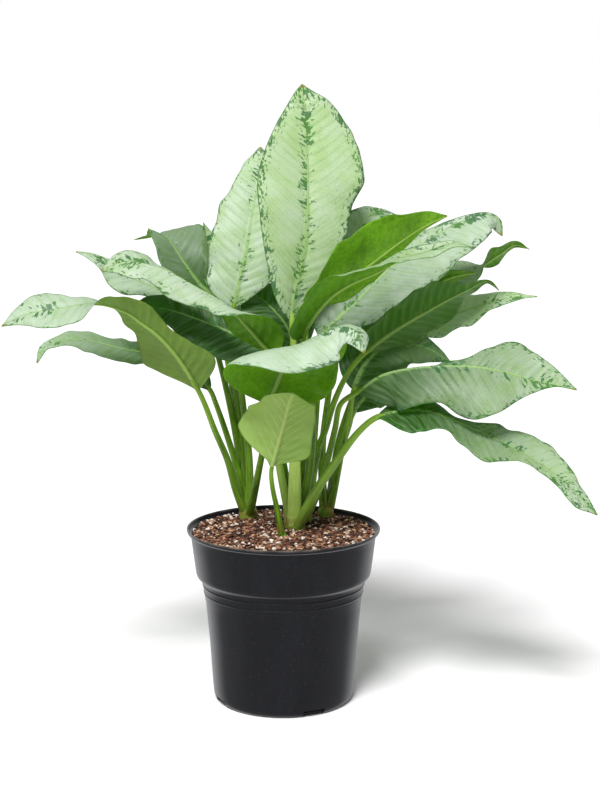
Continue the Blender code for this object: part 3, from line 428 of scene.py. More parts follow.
class Value:
    """A number that a material's nodes work out. Python's operators add the Math nodes."""

    def __init__(self, finish, socket):
        self.finish = finish
        self.socket = socket

    def __add__(self, other):
        return self.finish.maths("ADD", self, other)

    def __sub__(self, other):
        return self.finish.maths("SUBTRACT", self, other)

    def __rsub__(self, other):
        return self.finish.maths("SUBTRACT", other, self)

    def __mul__(self, other):
        return self.finish.maths("MULTIPLY", self, other)

    def __pow__(self, other):
        return self.finish.maths("POWER", self, other)

    __radd__ = __add__
    __rmul__ = __mul__


class Finish:
    """A material, and the few ways in which its nodes are added."""

    def __init__(self, name):
        self.material = bpy.data.materials.new(name)
        self.material.use_nodes = True
        self.tree = self.material.node_tree
        self.tree.nodes.clear()

    def node(self, kind, settings=None, values=None, output=0):
        """Adds a node: its settings first, then the values or links of its sockets. Returns one output."""
        node = self.tree.nodes.new("ShaderNode" + kind)
        for key, setting in (settings or {}).items():
            if key == "stops":
                self.set_stops(node.color_ramp, setting)
            else:
                setattr(node, key, setting)
        for key, value in (values or {}).items():
            if isinstance(value, Value):
                self.tree.links.new(value.socket, node.inputs[key])
            else:
                node.inputs[key].default_value = value
        return Value(self, node.outputs[output]) if node.outputs else None

    def set_stops(self, ramp, stops):
        while len(ramp.elements) < len(stops):
            ramp.elements.new(0.5)
        for element, (place, shade) in zip(ramp.elements, stops):
            element.position = place
            element.color = shade

    def maths(self, operation, *values):
        return self.node("Math", {"operation": operation}, dict(enumerate(values)))

    def attribute(self, name):
        """The three numbers that a piece holds at each vertex under this name."""
        return self.split(self.node("Attribute", {"attribute_name": name}, output="Vector"))

    def place(self):
        """Where a point of the object lies, in metres."""
        return self.node("TexCoord", output="Object")

    def split(self, vector):
        x = self.node("SeparateXYZ", values={0: vector})
        return [Value(self, output) for output in x.socket.node.outputs]

    def join(self, x, y, z):
        return self.node("CombineXYZ", values={0: x, 1: y, 2: z})

    def grain(self, place, scale, detail, roughness=0.5, distortion=0.0):
        values = {"Vector": place, "Scale": scale, "Detail": detail, "Roughness": roughness,
                  "Distortion": distortion}
        return self.node("TexNoise", {}, values)

    def step(self, value, low, high, first=0.0, last=1.0):
        """A soft step: first below low, last above high."""
        return self.node("MapRange", {"interpolation_type": "SMOOTHSTEP"}, {
            "Value": value, "From Min": low, "From Max": high, "To Min": first, "To Max": last})

    def mix(self, share, one, other):
        return self.node("Mix", {"data_type": "RGBA"}, {0: share, 6: one, 7: other}, output=2)

    def coats(self, base, *coats):
        """Colours laid over a base one after another, each with the share that it covers."""
        for share, tint in coats:
            base = self.mix(share, base, tint)
        return base

    def ramp(self, value, stops):
        return self.node("ValToRGB", {"stops": stops}, {0: value})

    def surface(self, base, roughness, height, strength, distance, shine=0.5):
        """A plain surface, with a bump of this height."""
        bump = self.node("Bump", {}, {"Height": height, "Strength": strength, "Distance": distance})
        return self.node("BsdfPrincipled", {}, {
            "Base Color": base, "Roughness": roughness, "Normal": bump, "Specular IOR Level": shine})

    def lit_through(self, shader, share):
        """The shader mixed with the light that shines through a thin leaf."""
        through = self.node("BsdfTranslucent", {}, {"Color": LIGHT_THROUGH})
        return self.node("MixShader", {}, {0: share, 1: shader, 2: through})

    def done(self, shader):
        """Links the finished shader, and returns the material."""
        self.node("OutputMaterial", {}, {"Surface": shader})
        return self.material


# Finishes

SILVER = colour(213, 230, 207)
SILVER_GLOW = colour(200, 230, 158)
# dark green laid over the silver: the leaf's own dark green, and painted shade
DARK_GREEN_AND_SHADE = colour(32, 66, 16)
VEIN_TINT = colour(160, 198, 130)
VEIN_SHADE = colour(104, 152, 72)
RIB_TINT = colour(172, 208, 126)
FLECK = colour(46, 96, 66)
MARGIN = colour(66, 122, 48)
# the underside's green where it is lit, and its dark green, which is painted shade and also mottles it
UNDERSIDE_LIT = colour(142, 204, 38)
UNDERSIDE_DARK_AND_SHADE = colour(48, 90, 2)
UNDERSIDE_PALE = colour(150, 158, 92)
UNDERSIDE_RIB = colour(194, 224, 116)
DRY_TIP = colour(150, 132, 58)
LIGHT_THROUGH = colour(146, 206, 40)


def vein_line(along, out):
    """The same number all the way along a side vein, which slants and bends towards the tip."""
    return along - out * 0.5 - out * out * 5.0


def rib_flecks(look, s, along, out, vein, flecks, key):
    """Dark streaks that lie in groups by the midrib, and more of them near the tip."""
    streaks = look.grain(look.join(vein * 260, out * 125, key), 1.0, 2.0, 0.55, 0.4)
    groups = look.grain(look.join(along * 42, out * 22, key + 17), 1.0, 1.0)
    by_rib = look.step(out, 0.0030, 0.0190, 1.0, 0.0)
    cluster = look.step(s, 0.70, 0.82) * look.step(s, 0.93, 0.86)
    many = flecks - 0.5
    field = streaks + by_rib * (many * 0.14 + 0.13 + (groups - 0.5) * 0.9 + cluster * 0.13)
    return look.step(field + many * 0.06 - 0.035, 0.715, 0.735)


def edge_flecks(look, along, across, to_edge, flecks, key):
    """Dark blots that lie in groups by the margin, and the thin line of the margin itself."""
    blots = look.grain(look.join(along * 160, across * 300, key + 31), 1.0, 2.5, 0.6, 0.5)
    groups = look.grain(look.join(along * 40, key, 5.0), 1.0, 1.0)
    by_edge = look.step(to_edge, 0.0, 0.0125, 1.0, 0.0)
    field = blots + by_edge * (0.12 + (groups - 0.5) * 0.5) + (flecks - 0.5) * 0.20
    spots = look.step(field, 0.645, 0.670) * look.step(to_edge, 0.014, 0.010)
    return spots, look.step(to_edge + (blots - 0.5) * 0.002, 0.0011, 0.0004)


def underside(look, s, out, ripple, cloud, spots, bright, pale):
    """Mottled green, lighter or darker as painted light and shade, with a pale keel under the midrib and a
    trace of the veins and flecks.
    """
    patches = look.grain(look.place(), 240.0, 3.0, 0.7)
    keel = (1 - s) * 0.0026 + 0.0006
    beside = look.step(out, keel * 2.0, keel) * look.step(out, keel * 0.6, keel)
    return look.coats(
        # painted light and shade: the underside lighter where it is lit, darker where it lies in shade
        look.mix(bright, UNDERSIDE_DARK_AND_SHADE, UNDERSIDE_LIT),
        (look.step(cloud, 0.35, 0.75) * 0.45, UNDERSIDE_DARK_AND_SHADE),
        (look.step(patches, 0.42, 0.66) * 0.4, UNDERSIDE_DARK_AND_SHADE),
        (pale, UNDERSIDE_PALE),
        (look.step(ripple, 0.5, 1.0) * 0.06 + spots * 0.12, UNDERSIDE_RIB),
        # the pale keel, stronger where the underside is painted lit
        (look.step(out, keel, keel * 0.55) * (bright * 0.4 + 0.4), UNDERSIDE_RIB),
        # painted shade beside the raised keel
        (beside * 0.4, UNDERSIDE_DARK_AND_SHADE))


def leaf_finish():
    """Silver green above with dark flecks along the midrib and the margin, plain green below; with painted
    shade towards the heel, in the valleys between the side veins and beside the midrib, and painted light and
    shade on the underside.
    """
    look = Finish("variegated_leaf")
    along, across, to_edge = look.attribute("lay")
    s, ribbed, upper = look.attribute("part")
    glow, flecks, seed = look.attribute("tone")
    # depth: dark green and painted shade above, painted light and shade below, and how greyish the underside
    # is
    deep, bright, pale = look.attribute("depth")
    out = look.maths("ABSOLUTE", across)
    key = look.maths("SIGN", across) * 3.7 + seed
    vein = vein_line(along, out)
    drift = look.grain(look.join(along * 60, out * 30, key), 1.0, 2.0)
    ripple = look.maths("COSINE", (vein + drift * 0.009) * (2 * pi / VEIN_SPACING))
    cloud = look.grain(look.place(), 38.0, 3.0, 0.55)
    by_edge, rim = edge_flecks(look, along, across, to_edge, flecks, key)
    spots = look.maths("MAXIMUM", rib_flecks(look, s, along, out, vein, flecks, key), by_edge)

    lines = look.step(ripple, 0.2, 1.0) * look.step(drift, 0.30, 0.60) * 0.32
    valley_shade = look.step(ripple, 0.3, -1.0) * look.step(drift, 0.38, 0.62) * look.step(s, 0.82, 0.40)
    feather = look.grain(look.join(vein * 240, out * 40, key + 9), 1.0, 3.0, 0.6)
    rib = (1 - s) ** 1.5 * (glow * 0.0036 + 0.0018) + 0.0007
    beside = look.step(across, rib * 0.5, rib) * look.step(across, rib * 2.0, rib)
    top = look.coats(
        look.mix(look.step(cloud + glow - 0.5, 0.0, 1.0), SILVER, SILVER_GLOW),
        (lines + look.step(cloud, 0.42, 0.72) * 0.26, VEIN_TINT),
        # painted shade in the valleys between the side veins
        (valley_shade * ribbed * 0.24, VEIN_SHADE),
        # dark green, partly the leaf's own and partly painted shade, most towards the heel
        (deep * look.step(feather, 0.30, 0.62, 0.84, 1.0), DARK_GREEN_AND_SHADE),
        (look.step(ripple, 0.80, 1.0) * look.step(deep, 0.1, 0.5) * 0.22, VEIN_TINT),
        (look.step(out, rib, rib * 0.6) * 0.75, RIB_TINT),
        # painted shade on one side of the raised midrib
        (beside * 0.45, VEIN_SHADE),
        (spots * 0.88, look.mix(look.step(cloud, 0.35, 0.65), FLECK, MARGIN)),
        (rim * 0.8, MARGIN))
    mottle = look.grain(look.place(), 520.0, 2.0, 0.6)
    skin = look.coats(
        look.mix(upper, underside(look, s, out, ripple, cloud, spots, bright, pale), top),
        (look.step(mottle, 0.45, 0.70) * 0.14, MARGIN),
        (look.step(s, 0.978, 0.994) * 0.8, DRY_TIP))
    fine = look.grain(look.join(vein * 1500, out * 420, key), 1.0, 3.0, 0.6)
    gloss = look.grain(look.place(), 60.0, 2.0) * 0.16 + 0.34
    shader = look.surface(skin, gloss, fine * 0.5 + ripple * 0.5, 0.22, 0.0006, shine=0.28)
    return look.done(look.lit_through(shader, 0.32))


def young_leaf_finish():
    """Soft pale green with lighter ribs, still without flecks."""
    look = Finish("young_leaf")
    along, across, to_edge = look.attribute("lay")
    out = look.maths("ABSOLUTE", across)
    vein = vein_line(along, out)
    bent = look.grain(look.join(along * 40, out * 30, 2.0), 1.0, 2.0)
    ripple = look.maths("COSINE", (vein - out * 0.5 + bent * 0.006) * (2 * pi / VEIN_SPACING))
    cloud = look.grain(look.place(), 45.0, 3.0, 0.6)
    net = look.grain(look.join(vein * 700, out * 160, 5.0), 1.0, 3.0, 0.65)
    skin = look.coats(
        look.mix(look.step(cloud, 0.2, 0.8), colour(146, 178, 84), colour(164, 192, 104)),
        (look.step(across, 0.010, -0.002, 0.0, 0.5), colour(124, 158, 66)),
        (look.step(net, 0.45, 0.70) * 0.35, colour(112, 148, 62)),
        (look.step(ripple, 0.80, 1.0) * look.step(out, 0.036, 0.004) * 0.45, colour(196, 216, 146)),
        (look.step(out, 0.0026, 0.0010) * 0.6, colour(186, 206, 120)),
        (look.step(to_edge, 0.0016, 0.0006) * 0.6, colour(92, 130, 50)))
    fine = look.grain(look.join(vein * 1500, out * 420, 3.0), 1.0, 3.0, 0.6)
    shader = look.surface(skin, cloud * 0.15 + 0.36, fine * 0.4 + ripple * 0.6, 0.25, 0.0006, shine=0.28)
    return look.done(look.lit_through(shader, 0.24))


def stalk_finish():
    """Streaked green, paler towards the leaf, mottled brown where a stalk leaves the cane, and some stalks
    paler, partly with painted light.
    """
    look = Finish("leaf_stalk")
    height, around, f = look.attribute("run")
    light, seed, lips = look.attribute("hue")
    streak = look.grain(look.join(around * 5 + seed, height * 22, f * 0.1), 1.0, 4.0, 0.65)
    blotch = look.grain(look.place(), 95.0, 3.0, 0.6)
    specks = look.grain(look.place(), 620.0, 1.0)
    # painted light, with some paleness of their own: some stalks paler, most near the cane
    light = light * look.step(f, 0.3, 0.9, 1.0, 0.35)
    low = look.step(height, 0.030, 0.004) * look.step(blotch, 0.42, 0.60)
    green = look.coats(
        look.mix(look.step(streak, 0.3, 0.7), colour(42, 80, 2), colour(114, 160, 22)),
        (look.step(f, 0.55, 1.0) * 0.45, colour(132, 170, 50)),
        (light * look.step(streak, 0.7, 0.3, 0.75, 1.0), colour(206, 242, 122)),
        (lips * 0.3, colour(176, 200, 96)),
        (look.step(specks, 0.62, 0.72) * 0.35, colour(176, 196, 120)),
        (low * 0.7, colour(136, 104, 56)))
    fine = look.grain(look.join(around * 90, height * 130, 1.0), 1.0, 3.0, 0.6)
    return look.done(look.surface(green, blotch * 0.2 + 0.36, fine, 0.3, 0.0005, shine=0.25))


def plastic_finish():
    """Black moulded plastic with a satin grain, pale specks, a little dust, and a painted sheen, lighter
    where its surface turns away from the view.
    """
    look = Finish("pot_plastic")
    x, y, z = look.split(look.place())
    grain = look.grain(look.place(), 1500.0, 2.0, 0.6)
    specks = look.grain(look.place(), 620.0, 1.0)
    smear = look.grain(look.join(x * 40, y * 40, z * 9), 1.0, 4.0, 0.6)
    dust = look.step(z, 0.005, 0.0) * 0.3 + look.step(z, 0.2140, 0.2168) * 0.7
    # painted sheen: lighter grey towards the outline, where the surface is seen edge-on
    painted_sheen = look.node("LayerWeight", {}, {"Blend": 0.5}, output="Facing")
    base = look.coats(
        look.mix(look.step(smear, 0.35, 0.75), colour(12, 13, 18), colour(20, 21, 26)),
        (look.step(specks, 0.66, 0.74) * 0.25, colour(80, 80, 84)),
        (dust * look.step(smear, 0.3, 0.7), colour(112, 104, 98)),
        (look.step(painted_sheen, 0.45, 1.0) * 0.95, colour(142, 142, 146)))
    gloss = smear * 0.18 + grain * 0.12 + 0.34
    return look.done(look.surface(base, gloss, grain, 0.28, 0.0003, shine=0.16))


def soil_finish():
    """Damp peat between the chips: very dark, with crumbs."""
    look = Finish("peat")
    crumbs = look.grain(look.place(), 420.0, 4.0, 0.7)
    base = look.ramp(crumbs, [
        (0.25, colour(22, 14, 11)), (0.5, colour(72, 42, 31)), (0.72, colour(118, 74, 54))])
    return look.done(look.surface(base, 0.92, crumbs, 0.9, 0.0015))


def chip_finish():
    """Coir and bark chips, each with a tint of its own, from black brown to tan."""
    look = Finish("coir_chip")
    fibre = look.grain(look.place(), 900.0, 3.0, 0.65)
    base = look.ramp(look.attribute("chip")[0], [
        (0.0, colour(24, 13, 9)), (0.35, colour(76, 42, 30)), (0.7, colour(156, 102, 76)),
        (1.0, colour(232, 184, 142))])
    base = look.mix(look.step(fibre, 0.35, 0.7) * 0.55, base, colour(58, 32, 24))
    return look.done(look.surface(base, 0.85, fibre, 0.8, 0.0006))


def perlite_finish():
    """White puffed grains with fine pores."""
    look = Finish("perlite")
    pores = look.grain(look.place(), 1400.0, 3.0, 0.7)
    base = look.mix(look.attribute("chip")[0], colour(236, 220, 202), colour(252, 250, 246))
    base = look.mix(look.step(pores, 0.6, 0.35) * 0.7, base, colour(150, 124, 104))
    return look.done(look.surface(base, 0.8, pores, 0.7, 0.0005))


def floor_finish():
    """A pale matt floor with a trace of unevenness."""
    look = Finish("pale_floor")
    drift = look.grain(look.place(), 3.0, 3.0)
    base = look.mix(drift, colour(250, 250, 250), colour(254, 254, 254))
    return look.done(look.surface(base, 0.75, drift, 0.02, 0.001))


# Curves of a leaf

def smooth_path(points, steps=24):
    """A smooth curve through points. Returns its polyline, and where each given point lies on it."""
    p = np.array(points, float)
    p = np.vstack([2 * p[0] - p[1], p, 2 * p[-1] - p[-2]])
    gaps = np.sqrt(np.linalg.norm(np.diff(p, axis=0), axis=1))
    t = np.concatenate([[0], np.cumsum(gaps)])

    def blend(a, b, t0, t1, u):
        return (t1 - u) / (t1 - t0) * a + (u - t0) / (t1 - t0) * b

    line = [p[1]]
    marks = [0]
    for i in range(1, len(p) - 2):
        for u in np.linspace(t[i], t[i + 1], steps + 1)[1:]:
            a = blend(p[i - 1], p[i], t[i - 1], t[i], u)
            b = blend(p[i], p[i + 1], t[i], t[i + 1], u)
            c = blend(p[i + 1], p[i + 2], t[i + 1], t[i + 2], u)
            d = blend(a, b, t[i - 1], t[i + 1], u)
            e = blend(b, c, t[i], t[i + 2], u)
            line.append(blend(d, e, t[i], t[i + 1], u))
        marks.append(len(line) - 1)
    return np.array(line), marks


def points_along(line, fractions):
    length = np.concatenate([[0], np.cumsum(np.linalg.norm(np.diff(line, axis=0), axis=1))])
    at = np.asarray(fractions) * length[-1]
    return np.stack([np.interp(at, length, line[:, k]) for k in range(3)], axis=1)


def spread(values, s):
    """Rows of values given evenly from heel to tip, read at the fractions s."""
    values = np.array(values, float)
    at = np.linspace(0, 1, len(values))
    return np.stack([np.interp(s, at, values[:, k]) for k in range(values.shape[1])], axis=1)


def unit(vectors):
    return vectors / np.linalg.norm(vectors, axis=-1, keepdims=True)


def leaf_line(leaf):
    """The leaf's curve from the cane to the tip, and the index on it where the blade begins."""
    (x, y), radius, _ = SHOOTS[leaf.shoot]
    first = np.array(leaf.stalk[0]) * CM
    lean = first[:2] - (x, y)
    lean = lean / max(np.linalg.norm(lean), 1e-6) * radius * 0.3
    start = (x + lean[0], y + lean[1], STALK_START)
    line, marks = smooth_path([start] + [np.array(p) * CM for p in leaf.stalk + leaf.rib])
    return line, marks[1 + len(leaf.stalk)]


def rib_frame(leaf, s):
    """Along the midrib at the fractions s: the points, the way it runs, and where the upper side looks."""
    line, heel = leaf_line(leaf)
    stalk_end = np.diff(points_along(line[:heel + 1], [1 - 1 / STALK_STEPS, 1]), axis=0)
    line = line[heel:]
    middle = points_along(line, s)
    along = unit(points_along(line, np.clip(s + 0.01, 0, 1)) - points_along(line, np.clip(s - 0.01, 0, 1)))
    # Near the heel the blade keeps the direction of its stalk, so that its sides stay in front of the stalk
    hold = np.clip(1 - s / BLADE_HOLD, 0, 1)[:, None]
    along = unit(hold * unit(stalk_end) + (1 - hold) * along)
    look = spread(leaf.faces, s)
    up = unit(look - (look * along).sum(1, keepdims=True) * along)
    return middle, along, up


def half_widths(leaf, s, half):
    """The width of half a blade (0 left, 1 right) along s from heel to tip."""
    drawn = leaf.edges[half]
    if drawn:
        line, _ = smooth_path([(f, width * CM) for f, width in zip(np.linspace(0, 1, len(drawn)), drawn)])
        width = np.interp(s, line[:, 0], line[:, 1])
    else:
        belly, point, heel = (np.broadcast_to(v, 2)[half] for v in (leaf.belly, leaf.point, leaf.heel))
        rise = np.clip(s / belly, 0, 1)
        fall = np.clip((s - belly) / (1 - belly), 0, 1)
        width = np.sin(pi / 2 * rise) ** heel * np.cos(pi / 2 * fall) ** point
        width = leaf.half_width * CM * leaf.share[half] * width
    width = np.maximum(width, BLADE_TIP_HALF)
    width[0] = BLADE_HEEL_HALF
    return width


def blade_surface(leaf, s, places):
    """Points of the blade's middle surface: a row for each of s, and columns from left to right at places."""
    middle, along, up = rib_frame(leaf, s)
    side = np.cross(along, up)
    surface = np.zeros((len(s), len(places), 3))
    for j, across in enumerate(places):
        reach = abs(across)
        half = int(across > 0)
        wing = np.radians(spread(leaf.right if half else leaf.left, s))
        width = half_widths(leaf, s, half)
        u = (np.arange(12) + 0.5) / 12 * reach
        bend = wing[:, :1] + wing[:, 1:] * u ** 1.5
        out = np.cos(bend).mean(axis=1) * reach * width * np.sign(across)
        rise = np.sin(bend).mean(axis=1) * reach * width
        turn = 2 * pi * leaf.waves * s + leaf.phase + 2.1 * half
        rise = rise + leaf.wave * reach ** 2 * width / (leaf.half_width * CM) * np.sin(turn)
        surface[:, j] = middle + side * out[:, None] + up * rise[:, None]
    return surface


def normals_of(surface):
    """Where the upper side looks at each point of a grid of points."""
    lengthwise = np.gradient(surface, axis=0)
    crosswise = np.gradient(surface, axis=1)
    return unit(np.cross(crosswise, lengthwise) + 1e-12)


# Shared steps of modelling

def select(*pieces):
    """Selects these pieces alone, with the first one active."""
    bpy.ops.object.select_all(action="DESELECT")
    for piece in pieces:
        piece.select_set(True)
    bpy.context.view_layer.objects.active = pieces[0]


def add_object(name, data):
    """Puts a mesh, a lamp or a camera into the scene as an object."""
    item = bpy.data.objects.new(name, data)
    bpy.context.scene.collection.objects.link(item)
    return item


def finish_piece(piece, material, slot, *nodes):
    """Gives a piece its material, hangs it on the body, and lets it stand for its CAD nodes."""
    piece.data.materials.clear()
    piece.data.materials.append(material)
    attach(piece, "root")
    if nodes:
        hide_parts(*nodes)


def points_of(piece):
    """All vertices of a piece as an array."""
    co = np.zeros(len(piece.data.vertices) * 3)
    piece.data.vertices.foreach_get("co", co)
    return co.reshape(-1, 3)


def put_points(piece, co):
    piece.data.vertices.foreach_set("co", np.asarray(co, float).ravel())
    piece.data.update()


def note(piece, name, *three):
    """Stores three numbers at each vertex, for the material to read. Each is one number or an array."""
    values = np.zeros((len(piece.data.vertices), 3))
    for k, value in enumerate(three):
        values[:, k] = value
    layer = piece.data.attributes.new(name, "FLOAT_VECTOR", "POINT")
    layer.data.foreach_set("vector", values.ravel())


def apply_modifiers(piece):
    select(piece)
    for modifier in list(piece.modifiers):
        bpy.ops.object.modifier_apply(modifier=modifier.name)


def close_ends():
    """Fills the open ends of the mesh in edit mode, turns its faces outward, and leaves edit mode."""
    bpy.ops.mesh.select_all(action="DESELECT")
    bpy.ops.mesh.select_non_manifold()
    bpy.ops.mesh.edge_face_add()
    bpy.ops.mesh.select_all(action="SELECT")
    bpy.ops.mesh.normals_make_consistent(inside=False)
    bpy.ops.object.mode_set(mode="OBJECT")


def sheet_of(name, rows, columns):
    """A grid primitive, and the row and column of each of its vertices."""
    bpy.ops.mesh.primitive_grid_add(x_subdivisions=rows, y_subdivisions=columns, size=2)
    piece = bpy.context.object
    piece.name = name
    co = points_of(piece)
    row = np.rint((co[:, 0] + 1) / 2 * rows).astype(int)
    column = np.rint((1 - co[:, 1]) / 2 * columns).astype(int)
    return piece, row, column


# Pot

def rounded(profile, radius):
    """The profile with each inner corner cut to a short curve of about this radius."""
    points = [np.array(p) for p in profile]
    smooth = [points[0]]
    for before, corner, after in zip(points, points[1:], points[2:]):
        back = before - corner
        on = after - corner
        cut = min(radius, 0.45 * np.linalg.norm(back), 0.45 * np.linalg.norm(on))
        start = corner + back / np.linalg.norm(back) * cut
        end = corner + on / np.linalg.norm(on) * cut
        for t in (0.0, 0.5, 1.0):
            smooth.append((1 - t) ** 2 * start + 2 * t * (1 - t) * corner + t ** 2 * end)
    smooth.append(points[-1])
    return smooth


def pot_profile():
    """From the floor inside up the wall, over the lip, and down outside with its rings to the bottom."""
    low, high = INNER_HEIGHTS
    inside = [(r - POT_WALL, z) for r, z in OUTER_WALL if low <= z < high]
    inside.append((OUTER_WALL[-3][0] - POT_WALL - FLOOR_CORNER, POT_FLOOR))
    profile = inside[::-1] + INNER_LIP
    for (r, z), (below_r, below_z) in zip(OUTER_WALL, OUTER_WALL[1:] + [(0.0, 0.0)]):
        profile.append((r, z))
        for ring in RING_HEIGHTS:
            if below_z < ring < z:
                wall = r + (below_r - r) * (z - ring) / (z - below_z)
                profile += [(wall + step_out, ring + step_up) for step_out, step_up in RING_SECTION]
    return rounded(profile, CORNER_RADIUS)


def make_pot(finish):
    """The pot's profile, extruded ring by ring from the inner floor, with its drain notches cut out."""
    profile = pot_profile()
    first_r, first_z = profile[0]
    bpy.ops.mesh.primitive_circle_add(vertices=POT_SIDES, radius=first_r, location=(0, 0, first_z))
    pot = bpy.context.object
    pot.name = "nursery_pot"
    bpy.ops.object.mode_set(mode="EDIT")
    for (r, z), (next_r, next_z) in zip(profile, profile[1:]):
        bpy.ops.mesh.extrude_region_move(TRANSFORM_OT_translate={"value": (0, 0, next_z - z)})
        ratio = next_r / r
        bpy.ops.transform.resize(value=(ratio, ratio, 1), center_override=(0, 0, next_z))
    bpy.ops.mesh.edge_face_add()
    close_ends()
    bpy.ops.object.transform_apply(location=True, rotation=True, scale=True)
    drains = drain_boxes()
    cut = pot.modifiers.new("drain_notches", "BOOLEAN")
    cut.operation = "DIFFERENCE"
    cut.object = drains
    cut.solver = "EXACT"
    apply_modifiers(pot)
    bpy.data.objects.remove(drains, do_unlink=True)
    bpy.ops.object.shade_smooth_by_angle(angle=radians(34))
    finish_piece(pot, finish, "pot_plastic", "pot")


def drain_boxes():
    """The boxes that cut the drain notches, as one object."""
    boxes = []
    middle = (DRAIN_INNER + DRAIN_OUTER) / 2
    for k in range(DRAIN_CUTS):
        angle = DRAIN_FIRST + 2 * pi * k / DRAIN_CUTS
        bpy.ops.mesh.primitive_cube_add(size=1, location=(middle * sin(angle), -middle * cos(angle), 0))
        box = bpy.context.object
        box.scale = (DRAIN_WIDTH, DRAIN_OUTER - DRAIN_INNER, DRAIN_HEIGHT * 2)
        box.rotation_euler.z = angle
        boxes.append(box)
    select(*boxes)
    bpy.ops.object.join()
    bpy.ops.object.transform_apply(location=True, rotation=True, scale=True)
    return boxes[0]


# Soil

def soil_height(x, y):
    """The height of the soil's surface: nearly level, with low mounds and dips."""
    out = min((x * x + y * y) ** 0.5 / SOIL_RADIUS, 1.0)
    level = SOIL_TOP + (SOIL_EDGE_TOP - SOIL_TOP) * out ** 2
    mound = Vector((x * MOUNDS_PER_METRE, y * MOUNDS_PER_METRE, 4.0))
    return level + MOUND_HEIGHT * noise.fractal(mound, 1.0, 2.0, 3)


def make_soil(finish):
    """A crumbly round sheet of peat, drawn down to a flat bottom."""
    soil, row, column = sheet_of("peat_bed", SOIL_SIDE, SOIL_SIDE)
    u = row / SOIL_SIDE * 2 - 1
    v = column / SOIL_SIDE * 2 - 1
    x = u * np.sqrt(1 - v ** 2 / 2) * SOIL_RADIUS
    y = -v * np.sqrt(1 - u ** 2 / 2) * SOIL_RADIUS
    z = []
    for px, py in zip(x, y):
        crumb = Vector((px * CRUMBS_PER_METRE, py * CRUMBS_PER_METRE, 1.0))
        height = soil_height(px, py) + CRUMB_HEIGHT * noise.fractal(crumb, 0.8, 2.0, 3)
        z.append(height - PEAT_BELOW_LITTER)
    put_points(soil, np.stack([x, y, z], axis=1))
    bpy.ops.object.mode_set(mode="EDIT")
    bpy.ops.mesh.select_all(action="DESELECT")
    bpy.ops.mesh.select_non_manifold()
    bpy.ops.mesh.extrude_region_move(TRANSFORM_OT_translate={"value": (0, 0, SOIL_BOTTOM - SOIL_TOP)})
    bpy.ops.transform.resize(value=(SOIL_TAPER, SOIL_TAPER, 0), center_override=(0, 0, SOIL_BOTTOM))
    close_ends()
    bpy.ops.object.shade_smooth_by_angle(angle=radians(60))
    finish_piece(soil, finish, "soil", "soil")


def lump_shape(draw, size, rough):
    """One small irregular lump, as its points and its faces."""
    bpy.ops.mesh.primitive_ico_sphere_add(subdivisions=1, radius=1.0)
    lump = bpy.context.object
    co = points_of(lump)
    co = co * (1 + draw.uniform(-rough, rough, (len(co), 1))) * size
    faces = [tuple(face.vertices) for face in lump.data.polygons]
    bpy.data.objects.remove(lump, do_unlink=True)
    return co, faces


def strand_shape(draw, steps=5, sides=3):
    """One thin curved fibre, as its points and its faces."""
    t = np.linspace(-1, 1, steps + 1)
    bow = draw.uniform(-0.35, 0.35)
    hump = draw.uniform(0.02, 0.25)
    middle = np.stack([t, bow * t ** 2 + 0.1 * np.sin(3 * t), hump * (1 - t ** 2)], axis=1)
    points = []
    for k, place in enumerate(middle):
        thin = 0.045 * (1.15 - abs(t[k])) + 0.008
        for j in range(sides):
            a = 2 * pi * j / sides
            points.append(place + np.array([0, cos(a) * thin, sin(a) * thin]))
    faces = []
    for k in range(steps):
        for j in range(sides):
            a, b = k * sides + j, k * sides + (j + 1) % sides
            faces.append((a, a + sides, b + sides, b))
    faces.append(tuple(range(sides)))
    faces.append(tuple(range(steps * sides, (steps + 1) * sides))[::-1])
    return np.array(points), faces


def turn_matrix(draw, lean):
    """A random turn about Z, and then a random lean of up to this angle."""
    spin = draw.uniform(0, 2 * pi)
    tip = draw.uniform(-lean, lean)
    toward = draw.uniform(0, 2 * pi)
    rz = np.array([[cos(spin), -sin(spin), 0], [sin(spin), cos(spin), 0], [0, 0, 1]])
    k = np.array([[0, 0, sin(toward)], [0, 0, -cos(toward)], [-sin(toward), cos(toward), 0]])
    return (np.eye(3) + sin(tip) * k + (1 - cos(tip)) * k @ k) @ rz


def soil_spot(draw, limit):
    """A random place on the soil, clear of the canes."""
    while True:
        r = limit * draw.uniform(0, 1) ** 0.5
        angle = draw.uniform(0, 2 * pi)
        x, y = r * cos(angle), r * sin(angle)
        if all((x - cane_x) ** 2 + (y - cane_y) ** 2 > (radius * 0.9) ** 2
               for (cane_x, cane_y), radius, _ in SHOOTS.values()):
            return x, y


def strewn(name, shapes, draw, material):
    """Many copies of a few shapes, strewn over the soil as one piece, each with three random numbers."""
    count, sizes, lean, levels = LITTER[name]
    points, faces, tints = [], [], []
    start = 0
    for _ in range(count):
        co, shape_faces = shapes[draw.integers(len(shapes))]
        scale = draw.uniform(*sizes)
        x, y = soil_spot(draw, SOIL_RADIUS + LITTER_PAST_EDGE - scale * 0.6)
        z = soil_height(x, y) + draw.uniform(*levels)
        points.append(co * scale @ turn_matrix(draw, lean).T + (x, y, z))
        faces += [tuple(v + start for v in face) for face in shape_faces]
        tints.append(np.tile(draw.uniform(0, 1, 3), (len(co), 1)))
        start += len(co)
    mesh = bpy.data.meshes.new(name)
    mesh.from_pydata(np.vstack(points).tolist(), [], faces)
    piece = add_object(name, mesh)
    note(piece, "chip", *np.vstack(tints).T)
    finish_piece(piece, material, "soil")


